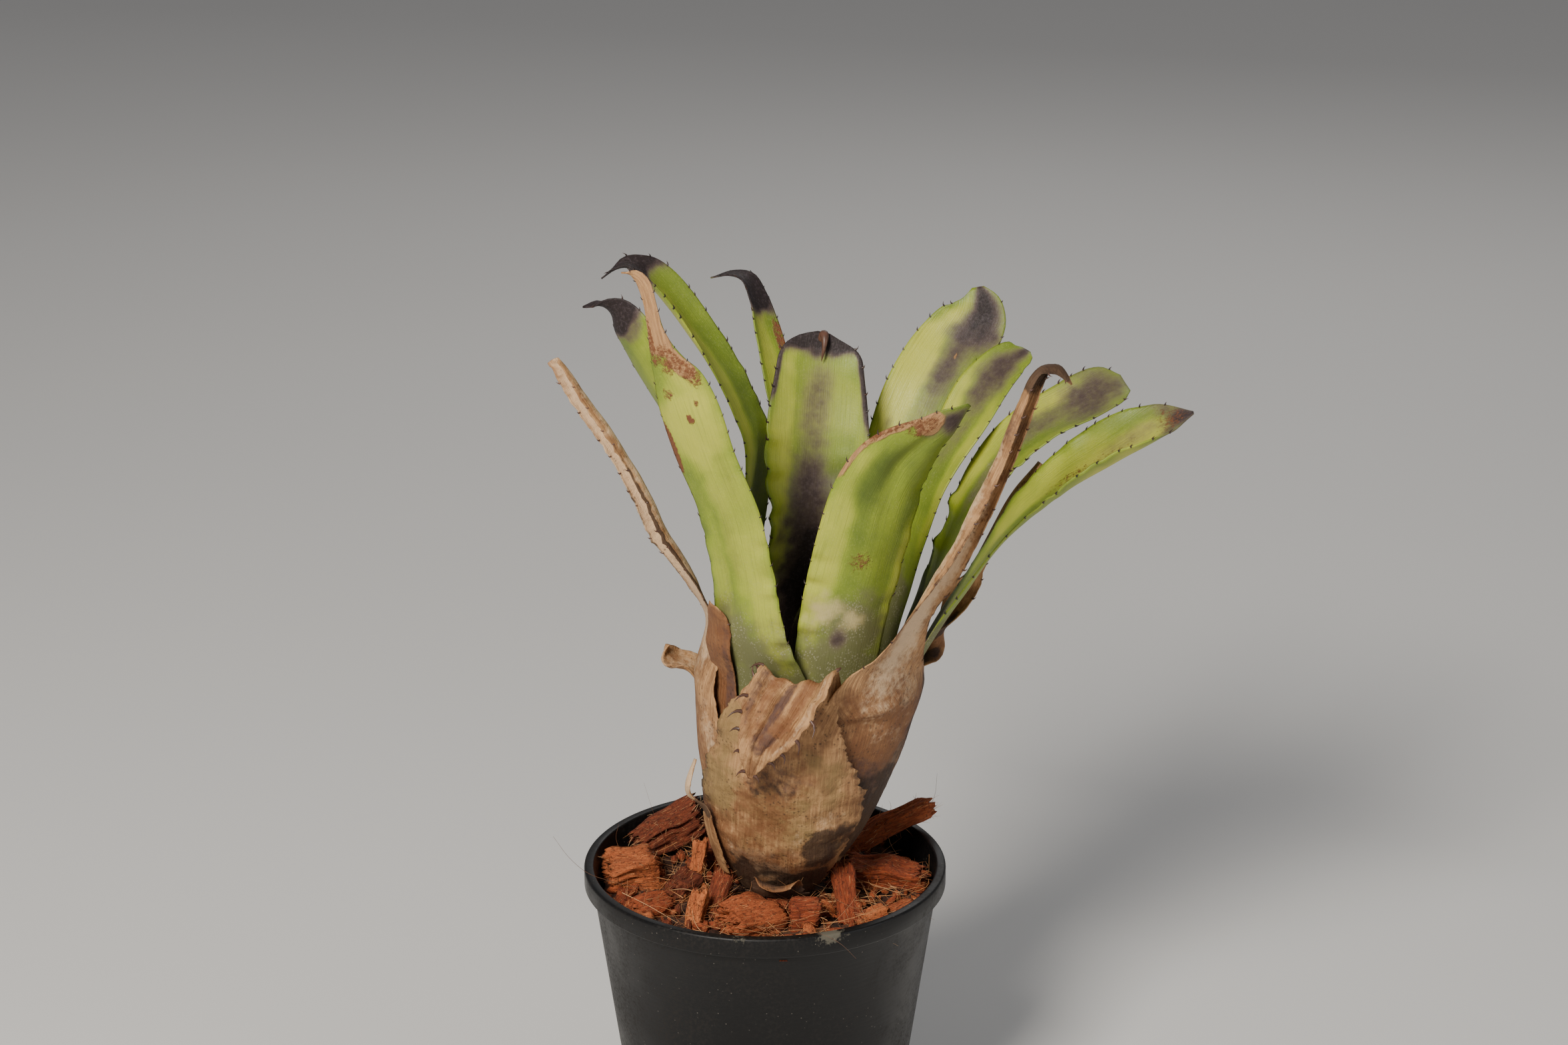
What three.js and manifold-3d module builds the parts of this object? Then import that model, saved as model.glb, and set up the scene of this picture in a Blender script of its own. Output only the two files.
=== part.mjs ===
// A small funnel bromeliad in a round black nursery pot filled with coconut-husk chips.
// Millimetres, +Z up. The origin is the centre of the pot's flat base, on the surface it stands on.
// The leaves grow from a short stem in nested sheaths, so each one follows the trunk's outline at its own
// layer before its blade leaves the bundle.
import * as THREE from "three";
import { mergeVertices } from "three/addons/utils/BufferGeometryUtils.js";
import Module from "manifold-3d";

const wasm = await Module();
wasm.setup();

const rad = THREE.MathUtils.degToRad;
const lerp = THREE.MathUtils.lerp;
const ease = THREE.MathUtils.smoothstep;

// ---------------------------------------------------------------- driving dimensions
const CLEARANCE = 0.4; // gap between pieces that touch

const POT = {
  height: 105,
  rimRadius: 60,
  baseRadius: 43,
  wall: 1.4,
  floor: 2.2,
  lipHeight: 7,
  lipOut: 1.8, // how far the lip stands proud of the wall below it
  drainHoles: 12,
  drainRadius: 2,
  drainCircle: 33,
  segments: 48,
};

const FILL = {
  freeboard: 17, // rim down to the top of the settled chips at the wall
  heap: 3, // how much higher the settled chips lie around the plant
};

const CHIP = {
  layer: 9, // height of the loose chips above the settled ones
  ring: 42.6, // width of bed, from trunk to wall, that whole chips need
  rounding: 0.16, // how far corners are drawn in
  stray: 0.07, // how far a vertex strays, as a share of the chip's least side
};

const PLANT = {
  x: 5.3, // where the trunk stands, from the pot's axis
  y: 0,
  soil: POT.height - FILL.freeboard + CHIP.layer, // the plant's own heights are counted from here
  lean: 7.3, // degrees, the trunk's lean towards +X
};

const LEAF = {
  thickness: 1.1,
  edge: 0.5,
  stations: 17,
  across: 5,
  sheathSteps: 8, // points of the centre line that lie on the trunk
  leastWidth: 1.2,
};

const HUSK = {
  // dead, papery sheaths and leaves
  thickness: 0.9,
  edge: 0.5,
  stations: 16,
  across: 7,
};

const TRUNK = {
  footRadius: 13, // at the chips
  spread: 31, // how much the radius grows by, far up
  growth: 42, // height over which most of that growth happens
  collar: 80, // height at which the green blades leave the bundle
  layerGap: 0.046, // between nested sheaths, as a share of the foot's radius: it grows with their flat facets
};
const LAYER_PITCH = LEAF.thickness + TRUNK.layerGap * TRUNK.footRadius;

const STEM = {
  rootDepth: 30, // below the chips
  footRadius: TRUNK.footRadius - 4, // leaves room for the outermost sheaths
  topHeight: 26,
  topRadius: 3,
  segments: 16,
};

// ---------------------------------------------------------------- frame of the plant
const soilAt = (height) => new THREE.Vector3(
  PLANT.x + height * Math.tan(rad(PLANT.lean)),
  PLANT.y,
  PLANT.soil + height,
);

// A point given by its distance from the leaning axis, its azimuth and its height above the chips.
const polar = (reach, azimuth, height) => {
  const p = soilAt(height);
  p.x += reach * Math.cos(rad(azimuth));
  p.y += reach * Math.sin(rad(azimuth));
  return p;
};

const trunkRadius = (height) =>
  TRUNK.footRadius + TRUNK.spread * (1 - Math.exp(-height / TRUNK.growth));

const layerRadius = (layer, height) => trunkRadius(height) - layer * LAYER_PITCH;

// A point of a blade, given by how far out it is from the trunk's own radius at the collar.
const bladePoint = (out, azimuth, height) => polar(trunkRadius(TRUNK.collar) + out, azimuth, height);

// ---------------------------------------------------------------- leaves
// A leaf follows its own layer of the trunk from rise to neck. Its blade then passes through stations, each
// with how far out it is from the trunk at the collar, azimuth, height above the chips and width.
function leafSpine(leaf) {
  const points = [];
  const widths = [];
  for (let i = 0; i < LEAF.sheathSteps; i++) {
    const h = lerp(leaf.rise, leaf.neck, i / LEAF.sheathSteps);
    const radius = layerRadius(leaf.layer, h);
    points.push(polar(radius, leaf.azimuth, h));
    widths.push(lerp(rad(leaf.span) * radius, leaf.neckWidth, ease(i / LEAF.sheathSteps, 0.45, 1)));
  }
  points.push(polar(layerRadius(leaf.layer, leaf.neck), leaf.azimuth, leaf.neck));
  widths.push(leaf.neckWidth);
  for (const [out, azimuth, height, width] of leaf.blade) {
    points.push(bladePoint(out, azimuth, height));
    widths.push(width);
  }
  const curve = new THREE.CatmullRomCurve3(points, false, "centripetal");
  curve.arcLengthDivisions = 400;
  const outline = new THREE.SplineCurve(widths.map((width, i) => new THREE.Vector2(i, width)));
  const neckIndex = LEAF.sheathSteps / (points.length - 1);
  return { curve, outline, neckIndex };
}

// The middle surface of a leaf at along t and across v (-1 to 1).
function leafPoint(leaf, spine, t, v) {
  const centre = spine.curve.getPointAt(t);
  const along = spine.curve.getTangentAt(t);
  const knot = spine.curve.getUtoTmapping(t);
  const half = Math.max(spine.outline.getPoint(knot).y, LEAF.leastWidth) / 2;
  const s = Math.max(0, (knot - spine.neckIndex) / (1 - spine.neckIndex));
  const axis = soilAt(centre.z - PLANT.soil);
  const radius = Math.hypot(centre.x - axis.x, centre.y - axis.y);

  const facing = s < 0.5 ? lerp(leaf.azimuth, leaf.face[0], 2 * s) : lerp(leaf.face[0], leaf.face[1], 2 * s - 1);
  const side = new THREE.Vector3(-Math.sin(rad(facing)), Math.cos(rad(facing)), 0);
  side.addScaledVector(along, -side.dot(along)).normalize();
  const inward = new THREE.Vector3().crossVectors(along, side);

  const channel = lerp(radius, leaf.channel, ease(s, 0, 0.6));
  const turn = (v * half) / channel;
  const blade = centre.clone()
    .addScaledVector(side, channel * Math.sin(turn))
    .addScaledVector(inward, channel * (1 - Math.cos(turn)));
  const around = Math.atan2(centre.y - axis.y, centre.x - axis.x) + (v * half) / radius;
  const sheath = new THREE.Vector3(
    axis.x + radius * Math.cos(around),
    axis.y + radius * Math.sin(around),
    centre.z,
  );
  return sheath.lerp(blade, ease(knot, spine.neckIndex * 0.75, spine.neckIndex + (1 - spine.neckIndex) * 0.4));
}

// A closed solid from a middle surface: two skins half a thickness either side, joined round the border.
function shell(rows, columns, middle, thicknessAt) {
  const grid = (i, j) => middle(i / (rows - 1), (2 * j) / (columns - 1) - 1);
  const surface = [];
  for (let i = 0; i < rows; i++) for (let j = 0; j < columns; j++) surface.push(grid(i, j));
  const at = (i, j) => surface[i * columns + j];
  const position = [];
  for (const face of [1, -1])
    for (let i = 0; i < rows; i++)
      for (let j = 0; j < columns; j++) {
        const alongway = at(Math.min(i + 1, rows - 1), j).clone().sub(at(Math.max(i - 1, 0), j));
        const crossway = at(i, Math.min(j + 1, columns - 1)).clone().sub(at(i, Math.max(j - 1, 0)));
        const normal = alongway.cross(crossway).normalize();
        const v = (2 * j) / (columns - 1) - 1;
        const p = at(i, j).clone().addScaledVector(normal, (face * thicknessAt(i / (rows - 1), v)) / 2);
        position.push(p.x, p.y, p.z);
      }
  const index = [];
  const id = (face, i, j) => face * rows * columns + i * columns + j;
  const quad = (a, b, c, d) => index.push(a, b, c, a, c, d);
  for (let i = 0; i < rows - 1; i++)
    for (let j = 0; j < columns - 1; j++) {
      quad(id(0, i, j), id(0, i + 1, j), id(0, i + 1, j + 1), id(0, i, j + 1));
      quad(id(1, i, j), id(1, i, j + 1), id(1, i + 1, j + 1), id(1, i + 1, j));
    }
  for (let i = 0; i < rows - 1; i++) {
    quad(id(0, i, 0), id(1, i, 0), id(1, i + 1, 0), id(0, i + 1, 0));
    const j = columns - 1;
    quad(id(0, i, j), id(0, i + 1, j), id(1, i + 1, j), id(1, i, j));
  }
  for (let j = 0; j < columns - 1; j++) {
    quad(id(0, 0, j), id(0, 0, j + 1), id(1, 0, j + 1), id(1, 0, j));
    const i = rows - 1;
    quad(id(0, i, j), id(1, i, j), id(1, i, j + 1), id(0, i, j + 1));
  }
  return new THREE.BufferGeometry()
    .setAttribute("position", new THREE.Float32BufferAttribute(position, 3))
    .setIndex(index);
}

function leafGeometry(leaf, stock) {
  const spine = leafSpine(leaf);
  return shell(
    leaf.stations ?? stock.stations,
    leaf.across ?? stock.across,
    (t, v) => leafPoint(leaf, spine, t, v),
    (t, v) => lerp(stock.thickness, stock.edge, Math.abs(v)),
  );
}

// Azimuths are degrees anticlockwise from +X seen from above, so 270 is the front. face is the way the blade's
// outer side looks half way along and at the tip, and channel is the radius of its cross-section.
const GREEN_DEFAULTS = { rise: 24, neck: TRUNK.collar, span: 105, neckWidth: 24, channel: 22 };
const DEAD_DEFAULTS = { rise: 3, neck: 76, span: 105, neckWidth: 12, channel: 10 };

const GREEN_LEAVES = [
  { name: "leaf_front_left", layer: 4, azimuth: 243, neckWidth: 30, face: [250, 245], channel: 26,
    blade: [[12, 228, 143, 23], [31, 218, 188, 21], [38, 214, 205, 7], [42, 211, 217, 4], [48, 208, 220, 1.5]] },
  { name: "leaf_front_right", layer: 5, azimuth: 282, neckWidth: 27, face: [290, 290], channel: 24,
    blade: [[-2, 284, 127, 31], [3, 293, 155, 30], [6, 304, 169, 20], [10, 312, 178, 2]] },
  { name: "leaf_right_low", layer: 3, azimuth: 348, face: [350, 352], channel: 11,
    blade: [[12, 348, 122, 23], [25, 349, 140, 24], [53, 352, 158, 22], [65, 353, 168, 3]] },
  { name: "leaf_right", layer: 4, azimuth: 8, face: [20, 38], channel: 22,
    blade: [[2, 1, 129, 22], [25, 4, 157, 26], [40, 5, 168, 23], [51, 6, 171, 5]] },
  { name: "leaf_right_back", layer: 8, azimuth: 30, neckWidth: 21, face: [32, 42],
    blade: [[-4, 28, 134, 20], [16, 28, 166, 20], [27, 27, 171, 5]] },
  { name: "leaf_back_right", layer: 6, azimuth: 66, neckWidth: 26, face: [80, 78], channel: 34,
    blade: [[6, 62, 140, 30], [18, 59, 162, 30], [29, 57, 179, 23], [34, 57, 188, 6]] },
  { name: "leaf_back", layer: 9, azimuth: 100, neckWidth: 27, face: [98, 92], channel: 36,
    blade: [[-18, 114, 139, 34], [-12, 108, 161, 36], [-8, 106, 174, 28], [-7, 103, 180, 10]] },
  { name: "leaf_back_tall", layer: 7, azimuth: 115, neckWidth: 18, face: [150, 165], channel: 14,
    blade: [[-2, 111, 142, 14], [17, 118, 173, 13], [27, 119, 186, 13], [32, 121, 192, 9], [38, 126, 191, 1.5]] },
  { name: "leaf_back_left", layer: 5, azimuth: 156, face: [158, 162], channel: 12,
    blade: [[-6, 152, 150, 18], [7, 152, 168, 20], [23, 156, 186, 20], [35, 160, 200, 16], [47, 165, 201, 2]] },
  { name: "leaf_left", layer: 6, azimuth: 210, face: [225, 220], channel: 24,
    blade: [[1, 214, 138, 22], [16, 203, 167, 22], [30, 192, 190, 21], [39, 188, 200, 15], [48, 185, 201, 2]] },
  { name: "heart_leaf_front", layer: 10, azimuth: 265, rise: STEM.topHeight + 1, neck: 60, span: 80, neckWidth: 16,
    face: [265, 265], channel: 13, blade: [[-25, 266, 92, 16], [-27, 268, 108, 2]], stations: 9 },
  { name: "heart_leaf_back", layer: 11.5, azimuth: 120, rise: STEM.topHeight + 1, neck: 60, span: 80, neckWidth: 14,
    face: [120, 120], channel: 10, blade: [[-29, 120, 84, 13], [-31, 120, 98, 2]], stations: 9 },
];

const DEAD_LEAVES = [
  { name: "dead_sheath_front", layer: 0, azimuth: 256, span: 118, neck: 70, neckWidth: 44, face: [262, 250],
    channel: 26, blade: [[2, 261, 85, 30], [5, 262, 90, 28], [9, 259, 85, 27], [9.5, 254, 75, 22],
      [8, 250, 62, 6]], stations: 22 },
  { name: "dead_sheath_back", layer: 0, azimuth: 85, span: 130, neck: 55, neckWidth: 62, face: [85, 85],
    channel: 40, blade: [[-2, 85, 66, 40]] },
  { name: "dead_leaf_right", layer: 1, azimuth: 318, span: 120, face: [320, 330], channel: 5,
    blade: [[1, 308, 103, 11], [16, 316, 143, 11], [27, 320, 182, 9], [30, 321, 191, 7], [37, 325, 190, 2]] },
  { name: "dead_leaf_left", layer: 1, azimuth: 196, span: 110, face: [230, 230], channel: 4,
    blade: [[6, 193, 111, 8], [17, 192, 128, 6.5], [30, 192, 152, 5], [40, 191, 167, 5], [55, 190, 186, 6]] },
  { name: "dead_leaf_right_back", layer: 2, azimuth: 12, span: 95, face: [330, 330], channel: 8,
    blade: [[9, 14, 102, 8], [23, 17, 132, 8], [30, 17, 141, 5]] },
  { name: "dead_sheath_left", layer: 2.6, azimuth: 214, span: 56, neck: 82, neckWidth: 13, face: [214, 214],
    channel: 16, blade: [[-1.5, 213, 94, 8]] },
  { name: "dead_leaf_stub", layer: 2.15, azimuth: 148, span: 80, neck: 62, neckWidth: 14, face: [160, 165],
    channel: 8, blade: [[1, 163, 75, 8], [7, 164, 77, 6]], stations: 12 },
  { name: "basal_strip_left", layer: -1, azimuth: 212, rise: 10, neck: 34, span: 14, neckWidth: 5,
    face: [200, 190], channel: 8, blade: [[-3, 190, 37, 5], [-5, 184, 46, 3]], stations: 9, across: 4 },
];

// ---------------------------------------------------------------- pot, fill and stem
function potGeometry() {
  const { height, rimRadius, baseRadius, wall, floor, lipHeight, lipOut, segments } = POT;
  const body = rimRadius - lipOut;
  const outerAt = (z) => lerp(baseRadius, body, z / height);
  const corner = 1.5;
  const profile = [
    [0, 0],
    [baseRadius - corner, 0],
    [outerAt(corner), corner],
    [outerAt(height - lipHeight), height - lipHeight],
    [rimRadius, height - lipHeight + 0.8],
    [rimRadius, height - 0.8],
    [rimRadius - 0.8, height],
    [outerAt(height) - wall + 0.6, height],
    [outerAt(height) - wall, height - 0.8],
    [outerAt(floor) - wall, floor],
    [0, floor],
  ];
  return new THREE.LatheGeometry(profile.map(([r, z]) => new THREE.Vector2(r, z)), segments)
    .rotateX(Math.PI / 2);
}

const potInner = (z) => lerp(POT.baseRadius, POT.rimRadius - POT.lipOut, z / POT.height) - POT.wall;

function fillGeometry() {
  const edge = POT.height - FILL.freeboard;
  const bottom = POT.floor + CLEARANCE;
  const profile = [
    [0, bottom],
    [potInner(bottom) - CLEARANCE, bottom],
    [potInner(edge) - CLEARANCE, edge],
    [potInner(edge) * 0.55, edge + FILL.heap * 0.7],
    [0, edge + FILL.heap],
  ];
  return new THREE.LatheGeometry(profile.map(([r, z]) => new THREE.Vector2(r, z)), POT.segments / 2)
    .rotateX(Math.PI / 2);
}

function stemGeometry(grow = 0) {
  const { rootDepth, footRadius, topHeight, topRadius, segments } = STEM;
  const profile = [
    [0, -rootDepth - grow],
    [footRadius * 0.6 + grow, -rootDepth - grow],
    [footRadius + grow, -rootDepth * 0.4],
    [footRadius + grow, 0],
    [topRadius + grow, topHeight],
    [0, topHeight + grow],
  ];
  const stem = new THREE.LatheGeometry(profile.map(([r, z]) => new THREE.Vector2(r, z)), segments)
    .rotateX(Math.PI / 2);
  const leaning = new THREE.Matrix4().makeShear(0, 0, 0, 0, Math.tan(rad(PLANT.lean)), 0);
  return stem.applyMatrix4(leaning).translate(PLANT.x, PLANT.y, PLANT.soil);
}

// ---------------------------------------------------------------- husk chips
// Loose chips on the fill. The middle of each is given by how far it lies from the trunk's foot (0) towards the
// wall (1), its azimuth from the foot and its height over the plant's soil line. Its length, width and
// thickness follow, and how it is turned about +Z, tipped along its length and rolled, in degrees.
const CHIPS = [
  { at: [0.76, 142, 6], size: [24, 10, 9], turn: [22, -22, 0] },
  { at: [0.77, 172, 1], size: [18, 15, 12], turn: [10, 0, 0] },
  { at: [0.67, 200, -2], size: [14, 10, 7], turn: [40, 0, 10] },
  { at: [0.50, 221, 1], size: [14, 6, 5], turn: [70, -65, 0] },
  { at: [0.38, 250, 0], size: [18, 16, 9], turn: [38, 8, 14] },
  { at: [0.34, 286, 0], size: [9, 7, 12], turn: [5, 0, 8] },
  { at: [0.36, 321, 3], size: [21, 7, 6], turn: [102, -50, 0] },
  { at: [0.59, 7, 1], size: [27, 11, 9], turn: [-8, 0, 0] },
  { at: [0.78, 36, 9], size: [34, 8, 6], turn: [10, -24, 0] },
  { at: [0.69, 321, -2], size: [9, 8, 8], turn: [20, 0, 0] },
  { at: [0.79, 335, -2], size: [10, 8, 6], turn: [35, 0, 0] },
  { at: [0.80, 63, -1], size: [12, 10, 9], turn: [30, 0, 0] },
  { at: [0.35, 162, 5], size: [11, 5, 4], turn: [80, -60, 0] },
  { at: [0.42, 182, -1], size: [12, 9, 9], turn: [60, 0, 20] },
  { at: [0.26, 216, 2], size: [18, 6, 6], turn: [60, -50, 0] },
  { at: [0.12, 266, -1], size: [9, 4, 8], turn: [-20, 0, 0] },
  { at: [0.81, 224, -3], size: [19, 5, 4], turn: [-32, 0, 0] },
  { at: [0.69, 271, -3], size: [9, 6, 5], turn: [15, 0, 0] },
  { at: [0.72, 295, -3], size: [8, 6, 6], turn: [-10, 0, 0] },
  { at: [0.23, 309, -3], size: [8, 5, 5], turn: [30, 0, 0] },
  { at: [0.83, 308, -4], size: [8, 5, 4], turn: [28, 0, 0] },
  { at: [0.49, 92, -1], size: [18, 11, 8], turn: [-12, 0, 0] },
  { at: [0.80, 116, -1], size: [15, 12, 9], turn: [50, 0, 0] },
  { at: [0.86, 87, -2], size: [14, 7, 7], turn: [-10, 0, 0] },
  { at: [0.44, 134, -1], size: [14, 8, 8], turn: [-40, 0, 0] },
  { at: [0.84, 190, -3], size: [11, 6, 6], turn: [75, 0, 0] },
];

// A fixed scatter of values between -1 and 1, so every build has the same chips.
const scatter = (seed) => {
  const wave = Math.sin(seed * 127.1 + 11.7) * 43758.5453;
  return 2 * (wave - Math.floor(wave)) - 1;
};

// In a narrower bed the chips are broken smaller.
const chipScale = () => Math.min(1, (potInner(PLANT.soil) - TRUNK.footRadius) / CHIP.ring);

function bedPoint([share, azimuth, height]) {
  const [c, s] = [Math.cos(rad(azimuth)), Math.sin(rad(azimuth))];
  const offset = PLANT.x * c + PLANT.y * s;
  const wall = Math.sqrt(potInner(PLANT.soil) ** 2 - PLANT.x ** 2 - PLANT.y ** 2 + offset ** 2) - offset;
  const reach = lerp(TRUNK.footRadius, wall, share);
  return [PLANT.x + reach * c, PLANT.y + reach * s, PLANT.soil + height];
}

// A broken block: its corners are drawn in and each vertex strays a little.
function chipGeometry({ at, size: whole, turn }, number) {
  const size = whole.map((side) => side * chipScale());
  const block = new THREE.BoxGeometry(...size, 3, 2, 2);
  block.deleteAttribute("normal");
  block.deleteAttribute("uv");
  const chip = mergeVertices(block, 1e-3);
  const position = chip.getAttribute("position");
  const point = new THREE.Vector3();
  const half = new THREE.Vector3(...size).multiplyScalar(0.5);
  for (let i = 0; i < position.count; i++) {
    point.fromBufferAttribute(position, i);
    const corner = point.clone().divide(half).length() / Math.sqrt(3);
    const stray = new THREE.Vector3(scatter(3 * i + 97 * number), scatter(3 * i + 1 + 97 * number),
      scatter(3 * i + 2 + 97 * number)).multiplyScalar(CHIP.stray * Math.min(...size));
    point.multiplyScalar(1 - CHIP.rounding * corner ** 4).add(stray);
    position.setXYZ(i, ...point);
  }
  const [yaw, pitch, roll] = turn.map(rad);
  return chip.applyMatrix4(new THREE.Matrix4().makeRotationFromEuler(new THREE.Euler(roll, pitch, yaw, "ZYX")))
    .translate(...bedPoint(at));
}

// ---------------------------------------------------------------- solids
function solid(geometry) {
  const bare = geometry.clone();
  bare.deleteAttribute("normal");
  bare.deleteAttribute("uv");
  const merged = mergeVertices(bare, 1e-3);
  return new wasm.Manifold(new wasm.Mesh({
    numProp: 3,
    vertProperties: merged.attributes.position.array,
    triVerts: new Uint32Array(merged.index.array),
  }));
}

function geometryOf(manifold) {
  const mesh = manifold.getMesh();
  const position = [];
  for (let i = 0; i < mesh.numVert; i++) {
    const at = i * mesh.numProp;
    position.push(...mesh.vertProperties.slice(at, at + 3));
  }
  return new THREE.BufferGeometry()
    .setAttribute("position", new THREE.Float32BufferAttribute(position, 3))
    .setIndex([...mesh.triVerts]);
}

function drilledPot() {
  let pot = solid(potGeometry());
  for (let i = 0; i < POT.drainHoles; i++) {
    const turn = (2 * Math.PI * i) / POT.drainHoles;
    const drill = new THREE.CylinderGeometry(POT.drainRadius, POT.drainRadius, 4 * POT.floor, 12)
      .rotateX(Math.PI / 2)
      .translate(POT.drainCircle * Math.cos(turn), POT.drainCircle * Math.sin(turn), 0);
    pot = pot.subtract(solid(drill));
  }
  return geometryOf(pot);
}

// ---------------------------------------------------------------- materials
const finish = (color, roughness) => new THREE.MeshStandardMaterial({ color, roughness, metalness: 0 });
const MATERIALS = {
  pot: finish(0x17171a, 0.45),
  fill: finish(0x4a2a1a, 0.95),
  chip: finish(0xb0603a, 0.95),
  leaf: finish(0x9dac4a, 0.55),
  husk: finish(0xa8815c, 0.85),
  stem: finish(0x8a7250, 0.9),
};

// ---------------------------------------------------------------- the plant in its pot
const bromeliad = new THREE.Group();
function add(name, geometry, material) {
  const mesh = new THREE.Mesh(geometry, material);
  mesh.name = name;
  bromeliad.add(mesh);
}

add("pot", drilledPot(), MATERIALS.pot);
add("coco_fill", geometryOf(solid(fillGeometry()).subtract(solid(stemGeometry(CLEARANCE)))), MATERIALS.fill);
add("stem", stemGeometry(), MATERIALS.stem);
for (const leaf of GREEN_LEAVES)
  add(leaf.name, leafGeometry({ ...GREEN_DEFAULTS, ...leaf }, LEAF), MATERIALS.leaf);
for (const leaf of DEAD_LEAVES)
  add(leaf.name, leafGeometry({ ...DEAD_DEFAULTS, ...leaf }, HUSK), MATERIALS.husk);

CHIPS.forEach((chip, i) => add(`coco_chip_${String(i + 1).padStart(2, "0")}`, chipGeometry(chip, i), MATERIALS.chip));

export default bromeliad;
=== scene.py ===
"""A small funnel bromeliad with dried sheaths, in a black nursery pot of coconut-husk chips.

Sizes in the classes are millimetres and degrees. Meshes are in metres. The plant's own heights are counted
from the surface of the loose chips, and azimuths run anticlockwise from +X, so 270 is the front.
"""

import logging
import math
from collections.abc import Sequence
from dataclasses import dataclass, field
from enum import Enum

import bmesh
import bpy
import numpy as np
from mathutils import Euler, Matrix, Vector, noise


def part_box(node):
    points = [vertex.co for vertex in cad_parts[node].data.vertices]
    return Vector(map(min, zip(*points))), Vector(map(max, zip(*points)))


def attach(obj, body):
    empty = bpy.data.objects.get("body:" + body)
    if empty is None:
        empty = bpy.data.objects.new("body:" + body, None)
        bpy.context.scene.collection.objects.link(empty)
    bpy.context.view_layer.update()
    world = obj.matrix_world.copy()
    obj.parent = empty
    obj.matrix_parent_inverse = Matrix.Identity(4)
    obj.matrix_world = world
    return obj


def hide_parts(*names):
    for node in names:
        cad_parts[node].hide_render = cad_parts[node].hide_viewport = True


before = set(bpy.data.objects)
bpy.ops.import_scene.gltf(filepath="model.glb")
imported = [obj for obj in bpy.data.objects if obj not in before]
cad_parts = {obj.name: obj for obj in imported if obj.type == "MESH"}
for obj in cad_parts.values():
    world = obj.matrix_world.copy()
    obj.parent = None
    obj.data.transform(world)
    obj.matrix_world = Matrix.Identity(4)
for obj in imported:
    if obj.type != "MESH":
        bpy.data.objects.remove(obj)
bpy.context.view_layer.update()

LOG = logging.getLogger("bromeliad")
MM = 0.001
ROOT = "root"
HEAP = 3.0  # how much higher the settled chips lie round the plant than at the wall
CHIP_LAYER = 9.0  # from the settled chips at the wall up to the loose chips' surface
Colour = tuple[float, float, float]
Points = np.ndarray
Socket = bpy.types.NodeSocket


class Slot(Enum):
    """The finishes that the record names."""

    POT = "pot_plastic"
    BED = "coco_bed"
    HUSK = "coco_husk"
    GREEN = "green_leaf"
    DRY = "dry_leaf"


class Tone(Enum):
    """What a patch of leaf turns into. Each is a vertex attribute that the leaf finishes read."""

    PURPLE = "purple"
    DRY = "dry"
    SCAB = "scab"
    PALE = "pale"
    GREY = "grey"
    STAIN = "stain"
    # On the green leaves this tone is painted shade, a darker green where a blade lies in shade; on the dry
    # leaves it is an olive stain.
    OLIVE = "olive"
    RUST = "rust"


class Side(Enum):
    """Which skin of a leaf a patch shows on."""

    BOTH = "both"
    OUTER = "outer"
    INNER = "inner"


# ------------------------------------------------------------------------------------------ small helpers
def smoothstep(value: Points | float, low: float, high: float) -> Points | float:
    """Rises smoothly from 0 at low to 1 at high."""
    share = np.clip((np.asarray(value, float) - low) / (high - low), 0.0, 1.0)
    return share * share * (3.0 - 2.0 * share)


def ramp_between(value: Points | float, start: float, end: float) -> Points | float:
    """Blends from start to end as value goes from 0 to 1."""
    return start + (end - start) * value


def unit(vectors: Points) -> Points:
    """Scales each row to length 1."""
    lengths = np.linalg.norm(vectors, axis=-1, keepdims=True)
    return vectors / np.maximum(lengths, 1e-9)


def scatter(seed: int) -> np.random.Generator:
    """Returns a generator that draws the same numbers in every run."""
    return np.random.default_rng(seed)


def noise_at(points: Points, scale: float, seed: float = 0.0) -> Points:
    """Smooth noise from about -1 to 1.

    Args:
        points: Positions, in millimetres, as rows of three.
        scale: Features per millimetre.
        seed: Moves the pattern, so that two pieces differ.

    Returns:
        One value for each row.
    """
    shift = Vector((seed * 3.1, seed * 1.7, seed * 2.3))
    flat = points.reshape(-1, 3)
    values = [noise.noise(Vector(p) * scale + shift) for p in flat]
    return np.array(values).reshape(points.shape[:-1])


def through(points: Points, per_span: int = 24) -> tuple[Points, Points]:
    """A smooth centripetal curve through points.

    Args:
        points: The points to pass through, as rows.
        per_span: Samples between two neighbours.

    Returns:
        The samples, and for each its position in the list of points, such as 2.5 half way from 2 to 3.
    """
    ends = np.vstack([2 * points[0] - points[1], points, 2 * points[-1] - points[-2]])
    gaps = np.maximum(np.linalg.norm(np.diff(ends, axis=0), axis=1), 1e-6) ** 0.5
    samples, knots = [], []
    share = np.linspace(0, 1, per_span, endpoint=False)[:, None]
    for i in range(len(points) - 1):
        before, start, end, after = ends[i : i + 4]
        first, middle, last = gaps[i : i + 3]
        leave = (start - before) / first - (end - before) / (first + middle) + (end - start) / middle
        arrive = (end - start) / middle - (after - start) / (middle + last) + (after - end) / last
        leave, arrive = leave * middle, arrive * middle
        square = -3 * start + 3 * end - 2 * leave - arrive
        cube = 2 * start - 2 * end + leave + arrive
        samples.append(start + leave * share + square * share**2 + cube * share**3)
        knots.append(i + share[:, 0])
    return np.vstack([*samples, points[-1]]), np.append(np.concatenate(knots), len(points) - 1.0)


def along_list(values: Sequence[float], knots: Points) -> Points:
    """Smooth values at positions in a list, as a uniform spline gives them."""
    samples, places = through(np.array([[k * 8.0, v] for k, v in enumerate(values)]))
    return np.interp(knots, places, samples[:, 1])


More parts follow.
